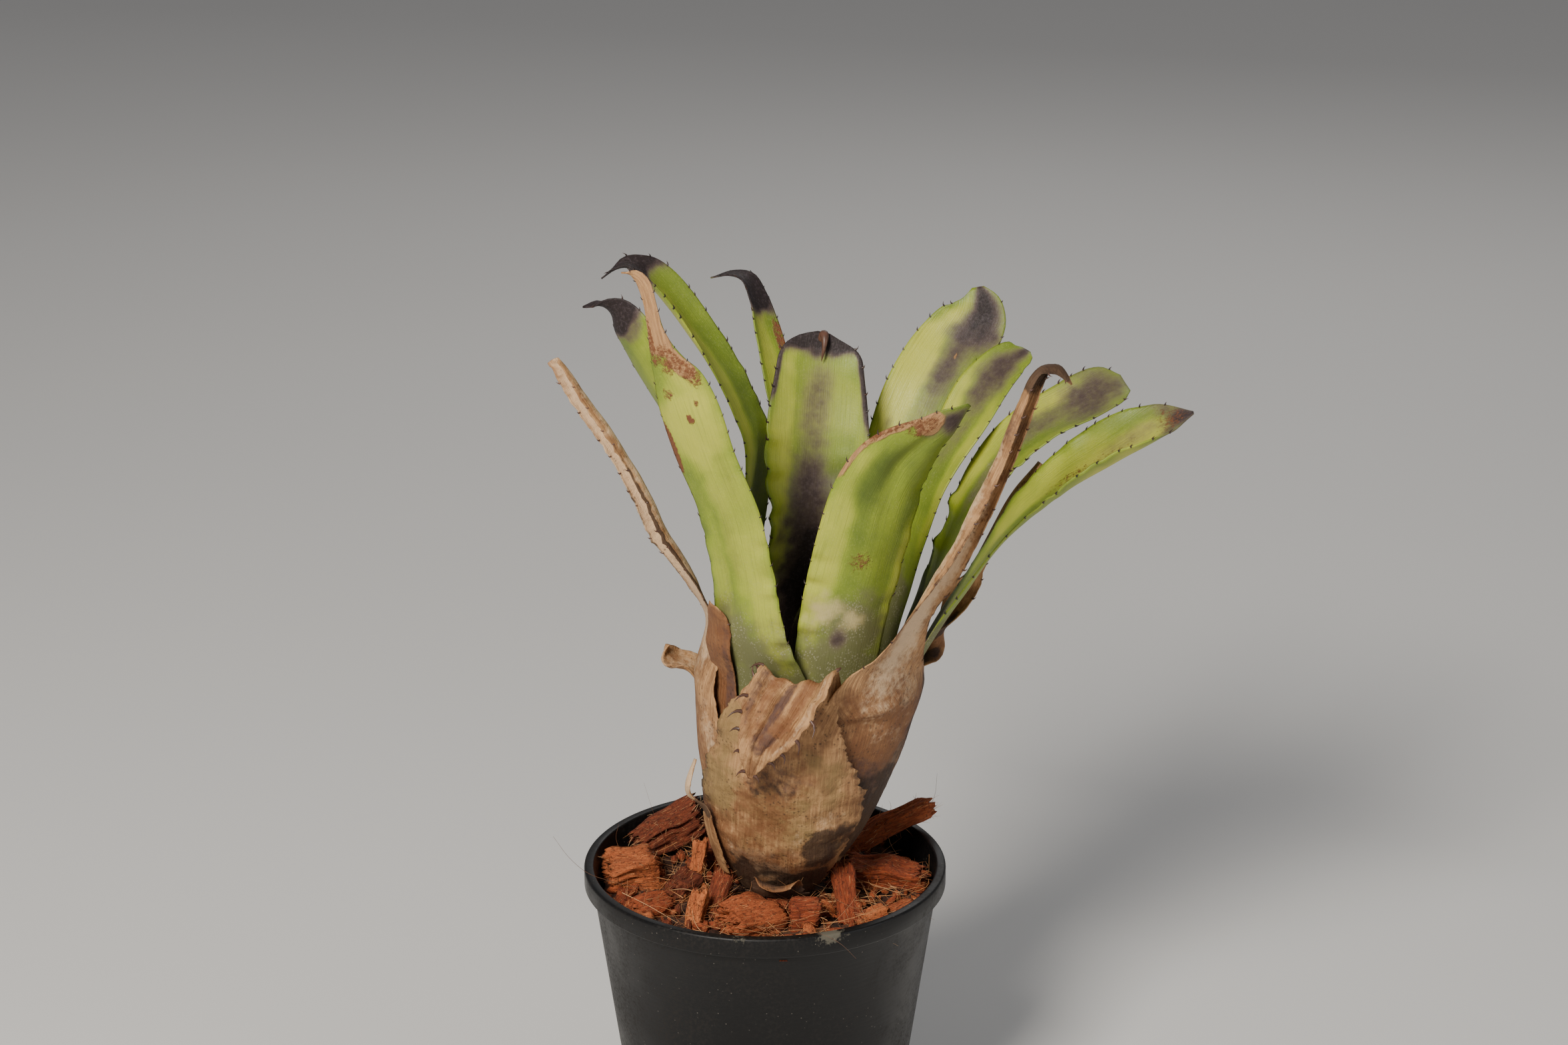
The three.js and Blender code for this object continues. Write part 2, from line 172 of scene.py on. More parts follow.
def publish(piece: bpy.types.Object, replaces: Sequence[str] = ()) -> bpy.types.Object:
    """Puts a finished piece on the plant's one body and hides the CAD nodes, if any, that it stands for.

    Args:
        piece: The object, at the origin, with its place in its mesh.
        replaces: The CAD nodes that the piece is shown for.

    Returns:
        The same object.
    """
    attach(piece, ROOT)
    if replaces:
        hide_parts(*replaces)
    LOG.info("%s: %d faces", piece.name, len(piece.data.polygons))
    return piece


def in_scene(name: str, data: bpy.types.ID) -> bpy.types.Object:
    """Puts a new object with this data in the scene."""
    made = bpy.data.objects.new(name, data)
    bpy.context.scene.collection.objects.link(made)
    return made


def object_from(bm: bmesh.types.BMesh, name: str, *finishes: bpy.types.Material) -> bpy.types.Object:
    """Turns a bmesh into a smooth shaded object in the scene and frees it."""
    mesh = bpy.data.meshes.new(name)
    bm.to_mesh(mesh)
    bm.free()
    for finish in finishes:
        mesh.materials.append(finish)
    mesh.shade_smooth()
    return in_scene(name, mesh)


def set_attribute(piece: bpy.types.Object, name: str, values: Points) -> None:
    """Stores one number, or one vector, for each vertex."""
    kind = "FLOAT" if values.ndim == 1 else "FLOAT_VECTOR"
    attribute = piece.data.attributes.new(name, kind, "POINT")
    attribute.data.foreach_set("value" if values.ndim == 1 else "vector", values.astype(np.float32).ravel())


def set_uv(piece: bpy.types.Object, per_vertex: Points) -> None:
    """Lays a UV map over a mesh from one pair of numbers for each vertex."""
    mesh = piece.data
    corner = np.zeros(len(mesh.loops), np.int32)
    mesh.loops.foreach_get("vertex_index", corner)
    layer = mesh.uv_layers.new(name="UVMap")
    layer.data.foreach_set("uv", per_vertex[corner].astype(np.float32).ravel())


def coordinates(verts: Sequence[bmesh.types.BMVert]) -> Points:
    """The positions of vertices as rows."""
    return np.array([v.co for v in verts], float)


def place(verts: Sequence[bmesh.types.BMVert], positions: Points) -> None:
    """Moves vertices to new positions, row by row."""
    for vertex, position in zip(verts, positions):
        vertex.co = position


def lay_skin(bm: bmesh.types.BMesh, surface: Points) -> tuple[Points, Points]:
    """Adds a grid that follows a surface.

    Args:
        bm: Where to add it.
        surface: Rows and columns of points, in millimetres.

    Returns:
        For each vertex its row and its column.
    """
    rows, columns = surface.shape[:2]
    made = bmesh.ops.create_grid(bm, x_segments=columns - 1, y_segments=rows - 1, size=1.0)["verts"]
    flat = (coordinates(made) + 1) / 2
    column = np.rint(flat[:, 0] * (columns - 1)).astype(int)
    row = np.rint(flat[:, 1] * (rows - 1)).astype(int)
    place(made, surface[row, column] * MM)
    return row, column


def strands(name: str, paths: Sequence[tuple[Points, Points]], sides: int, finish: bpy.types.Material,
            tone: Sequence[float] | None = None) -> bpy.types.Object:
    """Makes fine tapering strands, such as spines or fibres, as one mesh.

    Args:
        name: The piece's name.
        paths: For each strand its points and the radius at each, in millimetres.
        sides: Corners of a strand's section, 4 or more.
        finish: The material.
        tone: A number for each strand, kept as the attribute "tone".

    Returns:
        The object.
    """
    curve = bpy.data.curves.new(name, "CURVE")
    curve.dimensions = "3D"
    curve.bevel_depth = MM
    curve.bevel_resolution = (sides - 4) // 2
    curve.use_fill_caps = True
    for points, radii in paths:
        spline = curve.splines.new("POLY")
        spline.points.add(len(points) - 1)
        rows = np.hstack([points * MM, np.ones((len(points), 1))])
        spline.points.foreach_set("co", rows.astype(np.float32).ravel())
        spline.points.foreach_set("radius", np.asarray(radii, np.float32))
    holder = in_scene(name, curve)
    graph = bpy.context.evaluated_depsgraph_get()
    mesh = bpy.data.meshes.new_from_object(holder.evaluated_get(graph))
    bpy.data.objects.remove(holder)
    bpy.data.curves.remove(curve)
    mesh.name = name
    mesh.materials.clear()
    mesh.materials.append(finish)
    mesh.shade_smooth()
    piece = in_scene(name, mesh)
    if tone is not None:
        per_strand = len(mesh.vertices) / sum(len(points) for points, _ in paths)
        values = np.repeat(tone, [round(per_strand * len(points)) for points, _ in paths])
        set_attribute(piece, "tone", np.resize(values, len(mesh.vertices)))
    return piece


# ------------------------------------------------------------------------------------------ materials
class Graph:
    """Adds and links nodes in one node tree."""

    def __init__(self, tree: bpy.types.NodeTree) -> None:
        """Keeps the tree to build in."""
        self.tree = tree

    def node(self, kind: str, **settings: object) -> bpy.types.Node:
        """Adds a node and sets its properties."""
        made = self.tree.nodes.new(kind)
        for key, value in settings.items():
            setattr(made, key, value)
        return made

    def feed(self, socket: Socket, value: object) -> None:
        """Links an output to a socket, or sets the socket's own value."""
        if isinstance(value, Socket):
            self.tree.links.new(value, socket)
        elif isinstance(value, tuple) and len(value) == 3 and socket.type == "RGBA":
            socket.default_value = (*value, 1.0)
        else:
            socket.default_value = value

    def maths(self, operation: str, *values: object, clamp: bool = False) -> Socket:
        """A Math node on one to three values."""
        made = self.node("ShaderNodeMath", operation=operation, use_clamp=clamp)
        for socket, value in zip(made.inputs, values):
            self.feed(socket, value)
        return made.outputs[0]

    def times(self, first: object, second: object) -> Socket:
        """The product of two values."""
        return self.maths("MULTIPLY", first, second)

    def plus(self, first: object, second: object, clamp: bool = False) -> Socket:
        """The sum of two values."""
        return self.maths("ADD", first, second, clamp=clamp)

    def mix(self, share: object, first: object, second: object) -> Socket:
        """Blends two colours."""
        made = self.node("ShaderNodeMix", data_type="RGBA", clamp_factor=True)
        self.feed(made.inputs["Factor"], share)
        self.feed(made.inputs[6], first)
        self.feed(made.inputs[7], second)
        return made.outputs[2]

    def tint(self, colour: object, mask: object, strength: object, shade: object) -> Socket:
        """Lays a shade over a colour where a mask is, at a strength."""
        return self.mix(self.times(mask, strength), colour, shade)

    def noise(self, vector: object, scale: object, detail: float = 3.0, roughness: float = 0.55,
              distortion: float = 0.0) -> Socket:
        """The value of a Noise Texture node, from 0 to 1."""
        made = self.node("ShaderNodeTexNoise", noise_dimensions="3D")
        given = {"Vector": vector, "Scale": scale, "Detail": detail, "Roughness": roughness,
                 "Distortion": distortion}
        for key, value in given.items():
            self.feed(made.inputs[key], value)
        return made.outputs[0]

    def stretched(self, vector: object, scale: Colour) -> Socket:
        """Scales a vector differently along each axis."""
        made = self.node("ShaderNodeMapping")
        self.feed(made.inputs["Vector"], vector)
        made.inputs["Scale"].default_value = scale
        return made.outputs[0]

    def window(self, value: object, low: object, high: object, to_low: float = 0.0,
               to_high: float = 1.0) -> Socket:
        """Maps a value smoothly from a range to another."""
        made = self.node("ShaderNodeMapRange", interpolation_type="SMOOTHSTEP")
        for socket, number in zip(made.inputs, (value, low, high, to_low, to_high)):
            self.feed(socket, number)
        return made.outputs[0]

    def about_half(self, value: object, spread: object) -> Socket:
        """Rises smoothly from 0 to 1 over a spread either side of 0.5."""
        return self.window(value, self.maths("SUBTRACT", 0.5, spread), self.plus(0.5, spread))

    def ramp(self, share: object, *stops: tuple[float, Colour]) -> Socket:
        """A colour ramp."""
        made = self.node("ShaderNodeValToRGB")
        self.feed(made.inputs[0], share)
        elements = made.color_ramp.elements
        for extra in range(len(stops) - 2):
            elements.new(0.5 + 0.01 * extra)
        for element, (position, colour) in zip(elements, stops):
            element.position = position
            element.color = (*colour, 1.0)
        return made.outputs[0]

    def attribute(self, name: str, output: str = "Fac") -> Socket:
        """A number, or with output Vector a vector, that the mesh holds for each vertex."""
        return self.node("ShaderNodeAttribute", attribute_name=name).outputs[output]

    def bump(self, height: object, distance: float, strength: float = 1.0, normal: object = None) -> Socket:
        """Turns a height into a normal."""
        made = self.node("ShaderNodeBump")
        made.inputs["Distance"].default_value = distance
        made.inputs["Strength"].default_value = strength
        self.feed(made.inputs["Height"], height)
        if normal is not None:
            self.feed(made.inputs["Normal"], normal)
        return made.outputs[0]

    def group(self, effect: bpy.types.NodeTree, **values: object) -> bpy.types.NodeOutputs:
        """Places a shared effect with its own values and returns its outputs."""
        made = self.node("ShaderNodeGroup", node_tree=effect)
        for key, value in values.items():
            self.feed(made.inputs[key.capitalize()], value)
        return made.outputs


def effect_tree(name: str, inputs: Sequence[tuple[str, str, object]],
                outputs: Sequence[str]) -> tuple[Graph, bpy.types.NodeOutputs, bpy.types.NodeInputs]:
    """Starts a shared effect.

    Args:
        name: The group's name.
        inputs: For each input its name, its kind (Float or Vector) and its usual value.
        outputs: The name of each output, a number.

    Returns:
        A graph on the new tree, the sockets that bring its inputs, and those that take its outputs.
    """
    tree = bpy.data.node_groups.new(name, "ShaderNodeTree")
    for title, kind, usual in inputs:
        socket = tree.interface.new_socket(title, in_out="INPUT", socket_type=f"NodeSocket{kind}")
        if usual is not None:
            socket.default_value = usual
    for title in outputs:
        tree.interface.new_socket(title, in_out="OUTPUT", socket_type="NodeSocketFloat")
    graph = Graph(tree)
    return graph, graph.node("NodeGroupInput").outputs, graph.node("NodeGroupOutput").inputs


class Effects:
    """The shader effects that several finishes share."""

    def __init__(self) -> None:
        """Builds each effect once."""
        self.ragged = self._ragged()
        self.fibres = self._fibres()
        self.specks = self._specks()
        self.mottle = self._mottle()

    @staticmethod
    def _ragged() -> bpy.types.NodeTree:
        """A soft mask whose border is broken up by noise."""
        g, given, out = effect_tree(
            "ragged_border",
            [("Mask", "Float", 0.0), ("Vector", "Vector", None), ("Scale", "Float", 300.0),
             ("Breakup", "Float", 0.5), ("Softness", "Float", 0.2)],
            ["Mask"],
        )
        grain = g.noise(given["Vector"], given["Scale"], 4.0, 0.62)
        shift = g.times(g.maths("SUBTRACT", grain, 0.5), given["Breakup"])
        moved = g.plus(given["Mask"], g.times(shift, 2.0))
        g.feed(out["Mask"], g.about_half(moved, given["Softness"]))
        return g.tree

    @staticmethod
    def _fibres() -> bpy.types.NodeTree:
        """Grain that runs along a leaf's UV map or a husk's length."""
        g, given, out = effect_tree(
            "long_fibres", [("Vector", "Vector", None), ("Fineness", "Float", 9.0)], ["Grain", "Height"],
        )
        coarse = g.noise(given["Vector"], given["Fineness"], 2.0, 0.5)
        fine = g.noise(given["Vector"], g.times(given["Fineness"], 3.1), 3.0, 0.6)
        grain = g.plus(g.times(coarse, 0.6), g.times(fine, 0.4))
        g.feed(out["Grain"], g.window(grain, 0.32, 0.68))
        g.feed(out["Height"], grain)
        return g.tree

    @staticmethod
    def _specks() -> bpy.types.NodeTree:
        """Small scattered specks."""
        g, given, out = effect_tree(
            "scattered_specks",
            [("Vector", "Vector", None), ("Scale", "Float", 900.0), ("Cover", "Float", 0.4)],
            ["Mask"],
        )
        cells = g.node("ShaderNodeTexVoronoi", feature="F1")
        g.feed(cells.inputs["Vector"], given["Vector"])
        g.feed(cells.inputs["Scale"], given["Scale"])
        edge = g.maths("SUBTRACT", given["Cover"], cells.outputs["Distance"])
        patchy = g.noise(given["Vector"], g.times(given["Scale"], 0.16), 2.0)
        g.feed(out["Mask"], g.times(g.window(edge, 0.0, 0.15), g.window(patchy, 0.4, 0.62)))
        return g.tree

    @staticmethod
    def _mottle() -> bpy.types.NodeTree:
        """Slow uneven variation."""
        g, given, out = effect_tree(
            "mottling",
            [("Vector", "Vector", None), ("Scale", "Float", 90.0), ("Contrast", "Float", 0.25)],
            ["Mask"],
        )
        cloud = g.noise(given["Vector"], given["Scale"], 5.0, 0.6, 0.4)
        g.feed(out["Mask"], g.about_half(cloud, given["Contrast"]))
        return g.tree


class Finish:
    """Base of the materials: a named Principled surface and a graph that feeds it."""

    def __init__(self, name: str, effects: Effects) -> None:
        """Starts the material with the shared effects at hand."""
        self.material = bpy.data.materials.new(name)
        self.material.use_nodes = True
        self.effects = effects
        self.g = Graph(self.material.node_tree)
        self.surface = next(n for n in self.material.node_tree.nodes if n.type == "BSDF_PRINCIPLED")
        given = self.g.node("ShaderNodeTexCoord")
        self.object, self.uv = given.outputs["Object"], given.outputs["UV"]
        self.build()

    def build(self) -> None:
        """Builds the nodes."""
        raise NotImplementedError

    def output(self, colour: object, roughness: object, normal: object) -> None:
        """Feeds the surface."""
        for key, value in (("Base Color", colour), ("Roughness", roughness), ("Normal", normal)):
            self.g.feed(self.surface.inputs[key], value)

    def ragged(self, tone: str, scale: float, breakup: float, softness: float) -> Socket:
        """The mask of a vertex attribute, with an uneven border."""
        return self.g.group(self.effects.ragged, mask=self.g.attribute(tone), vector=self.object, scale=scale,
                            breakup=breakup, softness=softness)["Mask"]

    def mottle(self, scale: float, contrast: float, vector: object = None) -> Socket:
        """Slow uneven variation, over the object unless a vector is given."""
        vector = self.object if vector is None else vector
        return self.g.group(self.effects.mottle, vector=vector, scale=scale, contrast=contrast)["Mask"]

    def specks(self, scale: float, cover: float) -> Socket:
        """Small scattered specks over the object."""
        return self.g.group(self.effects.specks, vector=self.object, scale=scale, cover=cover)["Mask"]

    def fibres(self, vector: object, stretch: Colour, fineness: float) -> tuple[Socket, Socket]:
        """The grain of long fibres as a mask and as a height."""
        made = self.g.group(self.effects.fibres, vector=self.g.stretched(vector, stretch), fineness=fineness)
        return made["Grain"], made["Height"]


class GreenLeaf(Finish):
    """Leathery yellow-green leaf with fine scurf, faint veins, purple-black tips and dried patches."""

    mid: Colour = (0.240, 0.305, 0.026)
    deep: Colour = (0.120, 0.175, 0.018)
    bright: Colour = (0.47, 0.475, 0.062)
    vein: Colour = (0.11, 0.15, 0.02)
    glint: Colour = (0.60, 0.62, 0.16)
    # Painted shade: the darker green laid where a blade lies in shade.
    shade: Colour = (0.060, 0.090, 0.012)
    grey: Colour = (0.150, 0.145, 0.066)
    scurf: Colour = (0.36, 0.34, 0.23)
    purple: Colour = (0.140, 0.094, 0.080)
    black: Colour = (0.020, 0.013, 0.013)
    bloom: Colour = (0.42, 0.32, 0.36)
    cream: Colour = (0.50, 0.405, 0.190)
    tan: Colour = (0.50, 0.28, 0.125)
    brown: Colour = (0.18, 0.080, 0.034)
    scab: Colour = (0.190, 0.068, 0.026)

    def build(self) -> None:
        """Layers the living green, then the scurf, painted shade, purple, dry and scabbed tissue."""
        g = self.g
        pale = g.plus(g.attribute(Tone.PALE.value), g.times(self.mottle(55.0, 0.28), 0.32), clamp=True)
        green = g.ramp(pale, (0.0, self.deep), (0.42, self.mid), (1.0, self.bright))
        veins = g.noise(g.stretched(self.uv, (26.0, 0.55, 1.0)), 1.0, 2.0, 0.5)
        green = g.mix(g.window(veins, 0.45, 0.75, 0.0, 0.30), green, self.vein)
        fine = g.noise(self.object, 1500.0, 2.0, 0.7)
        green = g.mix(g.window(fine, 0.5, 0.78, 0.0, 0.16), green, self.glint)
        grey = self.ragged(Tone.GREY.value, 260.0, 0.35, 0.34)
        colour = g.tint(green, grey, 0.88, self.grey)
        colour = g.tint(colour, self.specks(1250.0, 0.42), g.plus(g.times(grey, 0.5), 0.07), self.scurf)
        # Painted shade: darker green over the olive patches, where a blade lies in shade.
        colour = g.tint(colour, self.ragged(Tone.OLIVE.value, 200.0, 0.2, 0.45), 0.85, self.shade)
        purple = self.ragged(Tone.PURPLE.value, 330.0, 0.14, 0.49)
        dark = g.ramp(purple, (0.0, self.purple), (0.35, self.purple), (0.9, self.black), (1.0, self.black))
        colour = g.mix(g.window(purple, 0.0, 0.75), colour, dark)
        bloom = g.times(g.window(g.noise(self.object, 900.0, 4.0, 0.7), 0.45, 0.7), 0.08)
        colour = g.tint(colour, bloom, purple, self.bloom)
        colour = g.tint(colour, self.ragged(Tone.RUST.value, 240.0, 0.35, 0.25), 0.9, self.cream)
        dry = self.ragged(Tone.DRY.value, 420.0, 0.22, 0.16)
        grain, height = self.fibres(self.uv, (1.0, 0.07, 1.0), 16.0)
        colour = g.mix(dry, colour, g.mix(g.times(grain, 0.6), self.tan, self.brown))
        scab = self.ragged(Tone.SCAB.value, 900.0, 0.75, 0.22)
        colour = g.mix(scab, colour, self.scab)
        colour = g.tint(colour, self.specks(170.0, 0.09), 0.55, self.brown)
        dull = g.maths("MAXIMUM", g.maths("MAXIMUM", dry, grey), purple)
        rough = g.plus(g.window(fine, 0.3, 0.7, 0.36, 0.50), g.times(dull, 0.22), clamp=True)
        normal = g.bump(g.plus(g.times(veins, 0.7), g.times(fine, 0.30)), 0.16 * MM)
        crust = g.times(scab, g.noise(self.object, 1700.0, 3.0, 0.7))
        normal = g.bump(g.plus(crust, g.times(dry, height)), 0.45 * MM, 1.0, normal)
        self.output(colour, rough, normal)
        self.surface.inputs["Subsurface Weight"].default_value = 0.10
        self.surface.inputs["Subsurface Radius"].default_value = (0.9, 1.0, 0.25)
        self.surface.inputs["Subsurface Scale"].default_value = 1.2 * MM
        self.surface.inputs["IOR"].default_value = 1.42
        self.surface.inputs["Specular IOR Level"].default_value = 0.38


class DryLeaf(Finish):
    """Papery dead leaf: lengthwise fibres, stains, and purple or rusty bands."""

    tan: Colour = (0.335, 0.170, 0.072)
    straw: Colour = (0.53, 0.30, 0.135)
    brown: Colour = (0.140, 0.056, 0.022)
    dark: Colour = (0.036, 0.020, 0.013)
    purple: Colour = (0.080, 0.042, 0.036)
    olive: Colour = (0.245, 0.165, 0.060)
    grey: Colour = (0.20, 0.155, 0.105)
    rust: Colour = (0.165, 0.058, 0.020)
    parchment: Colour = (0.70, 0.50, 0.31)

    def build(self) -> None:
        """Layers the fibres, mottling and each kind of stain."""
        g = self.g
        grain, height = self.fibres(self.uv, (1.0, 0.055, 1.0), 13.0)
        mottle = self.mottle(120.0, 0.17)
        worn = g.maths("MULTIPLY", g.plus(mottle, g.times(grain, -0.30)), 0.72, clamp=True)
        colour = g.mix(worn, g.mix(grain, self.tan, self.straw), self.brown)
        stains = (
            (Tone.OLIVE, 240.0, 0.40, 0.35, 0.75, self.olive),
            (Tone.RUST, 380.0, 0.55, 0.28, 0.72, self.rust),
            (Tone.GREY, 300.0, 0.40, 0.30, 0.70, self.grey),
            (Tone.PALE, 500.0, 0.40, 0.25, 0.80, self.parchment),
            (Tone.PURPLE, 420.0, 0.50, 0.30, 0.85, self.purple),
            (Tone.STAIN, 330.0, 0.42, 0.16, 0.86, self.dark),
        )
        for tone, scale, breakup, softness, strength, shade in stains:
            colour = g.tint(colour, self.ragged(tone.value, scale, breakup, softness), strength, shade)
        colour = g.tint(colour, self.specks(620.0, 0.30), 0.55, self.dark)
        streaks = g.noise(g.stretched(self.uv, (34.0, 0.9, 1.0)), 1.0, 3.0, 0.7)
        colour = g.mix(g.window(streaks, 0.62, 0.80, 0.0, 0.5), colour, self.rust)
        normal = g.bump(g.plus(height, g.times(mottle, 0.35)), 0.50 * MM)
        crinkle = g.noise(self.object, 260.0, 4.0, 0.6, 0.6)
        normal = g.bump(crinkle, 0.9 * MM, 0.55, normal)
        self.output(colour, g.window(grain, 0.0, 1.0, 0.62, 0.80), normal)
        self.surface.inputs["IOR"].default_value = 1.40


class Husk(Finish):
    """Fibrous coconut husk, from orange to red-brown, with pale stray fibres."""

    def build(self) -> None:
        """Runs the grain along each chip's own length."""
        g = self.g
        own = g.attribute("grain", "Vector")
        tone = g.attribute("tone")
        grain, height = self.fibres(own, (0.16, 1.0, 1.0), 14.0)
        deep = g.ramp(tone, (0.0, (0.070, 0.017, 0.009)), (0.5, (0.150, 0.027, 0.011)),
                      (1.0, (0.34, 0.083, 0.027)))
        light = g.ramp(tone, (0.0, (0.19, 0.050, 0.024)), (0.5, (0.42, 0.090, 0.030)),
                       (1.0, (0.72, 0.235, 0.080)))
        share = g.plus(g.times(grain, 0.7), g.times(self.mottle(3.0, 0.25, own), 0.3))
        colour = g.mix(share, deep, light)
        fibre = g.noise(g.stretched(own, (1.6, 26.0, 26.0)), 1.0, 2.0, 0.5, 0.8)
        colour = g.mix(g.window(fibre, 0.60, 0.72, 0.0, 0.6), colour, (0.64, 0.34, 0.15))
        pits = g.noise(own, 9.0, 4.0, 0.7)
        colour = g.mix(g.window(pits, 0.34, 0.48, 0.7, 0.0), colour, (0.035, 0.011, 0.006))
        relief = g.plus(height, g.times(fibre, 0.6))
        self.output(colour, g.window(grain, 0.0, 1.0, 0.78, 0.94), g.bump(relief, 0.9 * MM))
        self.surface.inputs["IOR"].default_value = 1.35


class Bed(Finish):
    """Dark crumbled husk and coir dust."""

    def build(self) -> None:
        """Mixes dark crumbs with lighter dust."""
        g = self.g
        crumbs = g.noise(self.object, 420.0, 5.0, 0.7, 0.5)
        colour = g.ramp(crumbs, (0.3, (0.012, 0.006, 0.004)), (0.52, (0.060, 0.022, 0.011)),
                        (0.75, (0.19, 0.062, 0.024)))
        colour = g.tint(colour, self.specks(520.0, 0.25), 0.6, (0.42, 0.17, 0.07))
        self.output(colour, g.window(crumbs, 0.3, 0.7, 0.88, 0.98), g.bump(crumbs, 1.6 * MM))


class Fibre(Finish):
    """Coir hairs from pale tan to dark brown."""

    def build(self) -> None:
        """Colours each hair by its own tone."""
        g = self.g
        colour = g.ramp(g.attribute("tone"), (0.0, (0.075, 0.045, 0.030)), (0.35, (0.30, 0.11, 0.04)),
                        (0.7, (0.55, 0.25, 0.09)), (1.0, (0.66, 0.42, 0.22)))
        grain = g.noise(self.object, 2600.0, 2.0, 0.5)
        colour = g.mix(g.window(grain, 0.4, 0.7, 0.0, 0.35), colour, (0.20, 0.08, 0.03))
        self.output(colour, g.window(grain, 0.3, 0.7, 0.55, 0.7), g.bump(grain, 0.02 * MM))


class PotPlastic(Finish):
    """Smooth black plastic with dust, scuffs and a pale lime mark on the rim."""

    black: Colour = (0.0052, 0.0050, 0.0053)

    def build(self) -> None:
        """Adds dust, fine scratches and lime to the black."""
        g = self.g
        cloud = self.mottle(38.0, 0.22)
        dust = g.times(cloud, g.window(g.noise(self.object, 900.0, 3.0, 0.7), 0.42, 0.7))
        colour = g.tint(self.black, dust, 0.07, (0.20, 0.16, 0.13))
        colour = g.tint(colour, self.specks(420.0, 0.13), 0.6, (0.30, 0.26, 0.22))
        lime = self.ragged("lime", 700.0, 0.75, 0.14)
        colour = g.tint(colour, lime, 0.34, (0.30, 0.27, 0.20))
        scratch = g.noise(g.stretched(self.object, (60.0, 60.0, 900.0)), 1.0, 2.0, 0.5, 0.3)
        rough = g.plus(g.window(cloud, 0.0, 1.0, 0.34, 0.46), g.times(dust, 0.25))
        rough = g.plus(rough, g.times(lime, 0.35), clamp=True)
        self.output(colour, rough, g.bump(g.plus(g.times(scratch, 0.4), g.times(lime, 0.8)), 0.10 * MM))
        self.surface.inputs["IOR"].default_value = 1.45
        self.surface.inputs["Specular IOR Level"].default_value = 0.30


class Bark(Finish):
    """Rough brown stem and root stock."""

    def build(self) -> None:
        """Runs the grain up the stem."""
        g = self.g
        grain, height = self.fibres(self.object, (100.0, 100.0, 14.0), 6.0)
        colour = g.mix(grain, (0.10, 0.055, 0.03), (0.26, 0.16, 0.085))
        self.output(colour, g.window(grain, 0.0, 1.0, 0.78, 0.92), g.bump(height, 0.8 * MM))


class Thorn(Finish):
    """Marginal spines, from near black to pale horn."""

    def build(self) -> None:
        """Varies the horn colour a little."""
        g = self.g
        grain = g.noise(self.object, 500.0, 3.0, 0.6)
        colour = g.ramp(g.attribute("tone"), (0.0, (0.012, 0.008, 0.007)), (0.5, (0.085, 0.036, 0.024)),
                        (1.0, (0.36, 0.19, 0.11)))
        colour = g.mix(g.window(grain, 0.45, 0.7, 0.0, 0.4), colour, (0.03, 0.015, 0.012))
        self.output(colour, g.window(grain, 0.3, 0.7, 0.35, 0.5), g.bump(grain, 0.03 * MM))


class Ground(Finish):
    """Plain pale floor."""

    def build(self) -> None:
        """Keeps the floor all but even."""
        g = self.g
        cloud = g.noise(self.object, 2.0, 2.0, 0.5)
        colour = g.mix(cloud, (0.70, 0.69, 0.675), (0.73, 0.72, 0.705))
        self.output(colour, g.window(cloud, 0.0, 1.0, 0.80, 0.88), g.bump(cloud, 0.05 * MM))


# ------------------------------------------------------------------------------------------ leaf shapes
@dataclass(frozen=True)
class Trunk:
    """The leaning bundle of nested sheaths that every leaf starts in."""

    soil: float
    foot_x: float = 5.3
    lean: float = 7.3
    foot_radius: float = 13.0
    spread: float = 31.0
    growth: float = 42.0
    collar: float = 80.0
    layer_pitch: float = 1.7

    def radius(self, height: Points | float) -> Points | float:
        """The bundle's radius at a height."""
        return self.foot_radius + self.spread * (1.0 - np.exp(-np.asarray(height, float) / self.growth))

    def axis(self, height: Points | float) -> Points:
        """Points of the leaning axis."""
        h = np.asarray(height, float)
        return np.stack([self.foot_x + h * math.tan(math.radians(self.lean)), 0 * h, self.soil + h], axis=-1)

    def polar(self, reach: Points | float, azimuth: Points | float, height: Points | float) -> Points:
        """Points given by distance from the axis, azimuth in degrees and height."""
        a = np.radians(np.asarray(azimuth, float))
        r = np.asarray(reach, float)
        return self.axis(height) + np.stack([r * np.cos(a), r * np.sin(a), 0 * (r + a)], axis=-1)


@dataclass(frozen=True)
class Patch:
    """An oval area of a leaf that takes on a tone."""

    tone: Tone
    along: float  # millimetres from the collar towards the tip
    across: float  # -1 and 1 are the margins
    length: float  # half of it, millimetres
    width: float  # half of it, as a share of the half width
    strength: float = 1.0
    side: Side = Side.BOTH
    soft: float = 0.45
    warp: float = 0.25


@dataclass(frozen=True)
class Ripple:
    """Lumps or folds along a stretch of margin."""

    edge: int  # -1 or 1
    start: float
    end: float
    height: float
    pitch: float


@dataclass(frozen=True)
class Dent:
    """A fold or bulge of the blade: an oval pushed out along the surface's inward normal."""

    along: float
    across: float
    length: float
    width: float
    depth: float


@dataclass(frozen=True)
class LeafShape:
    """One leaf: its place in the bundle, its blade and how it is marked.

    Blade stations are how far out from the collar's radius, azimuth, height and width. face is the way the
    outer side looks half way along and at the tip. bend is the curvature of the cross-section there, one
    over its radius, first at mid blade and then at the tip.
    """

    name: str
    layer: float
    azimuth: float
    blade: tuple[tuple[float, float, float, float], ...]
    face: tuple[float, float]
    bend: tuple[float, float]
    rise: float = 24.0
    neck: float = 80.0
    span: float = 105.0
    neck_width: float = 24.0
    thickness: float = 1.1
    edge: float = 0.45
    rows: int = 150
    columns: int = 28
    ripples: tuple[Ripple, ...] = ()
    dents: tuple[Dent, ...] = ()
    patches: tuple[Patch, ...] = ()
    spine_pitch: float = 6.0
    spine_length: float = 1.3
    spines_from: float = 25.0
    rough_edge: float = 0.0
    wave: float = 0.35
    crumple: float = 0.0
    replaces: bool = True


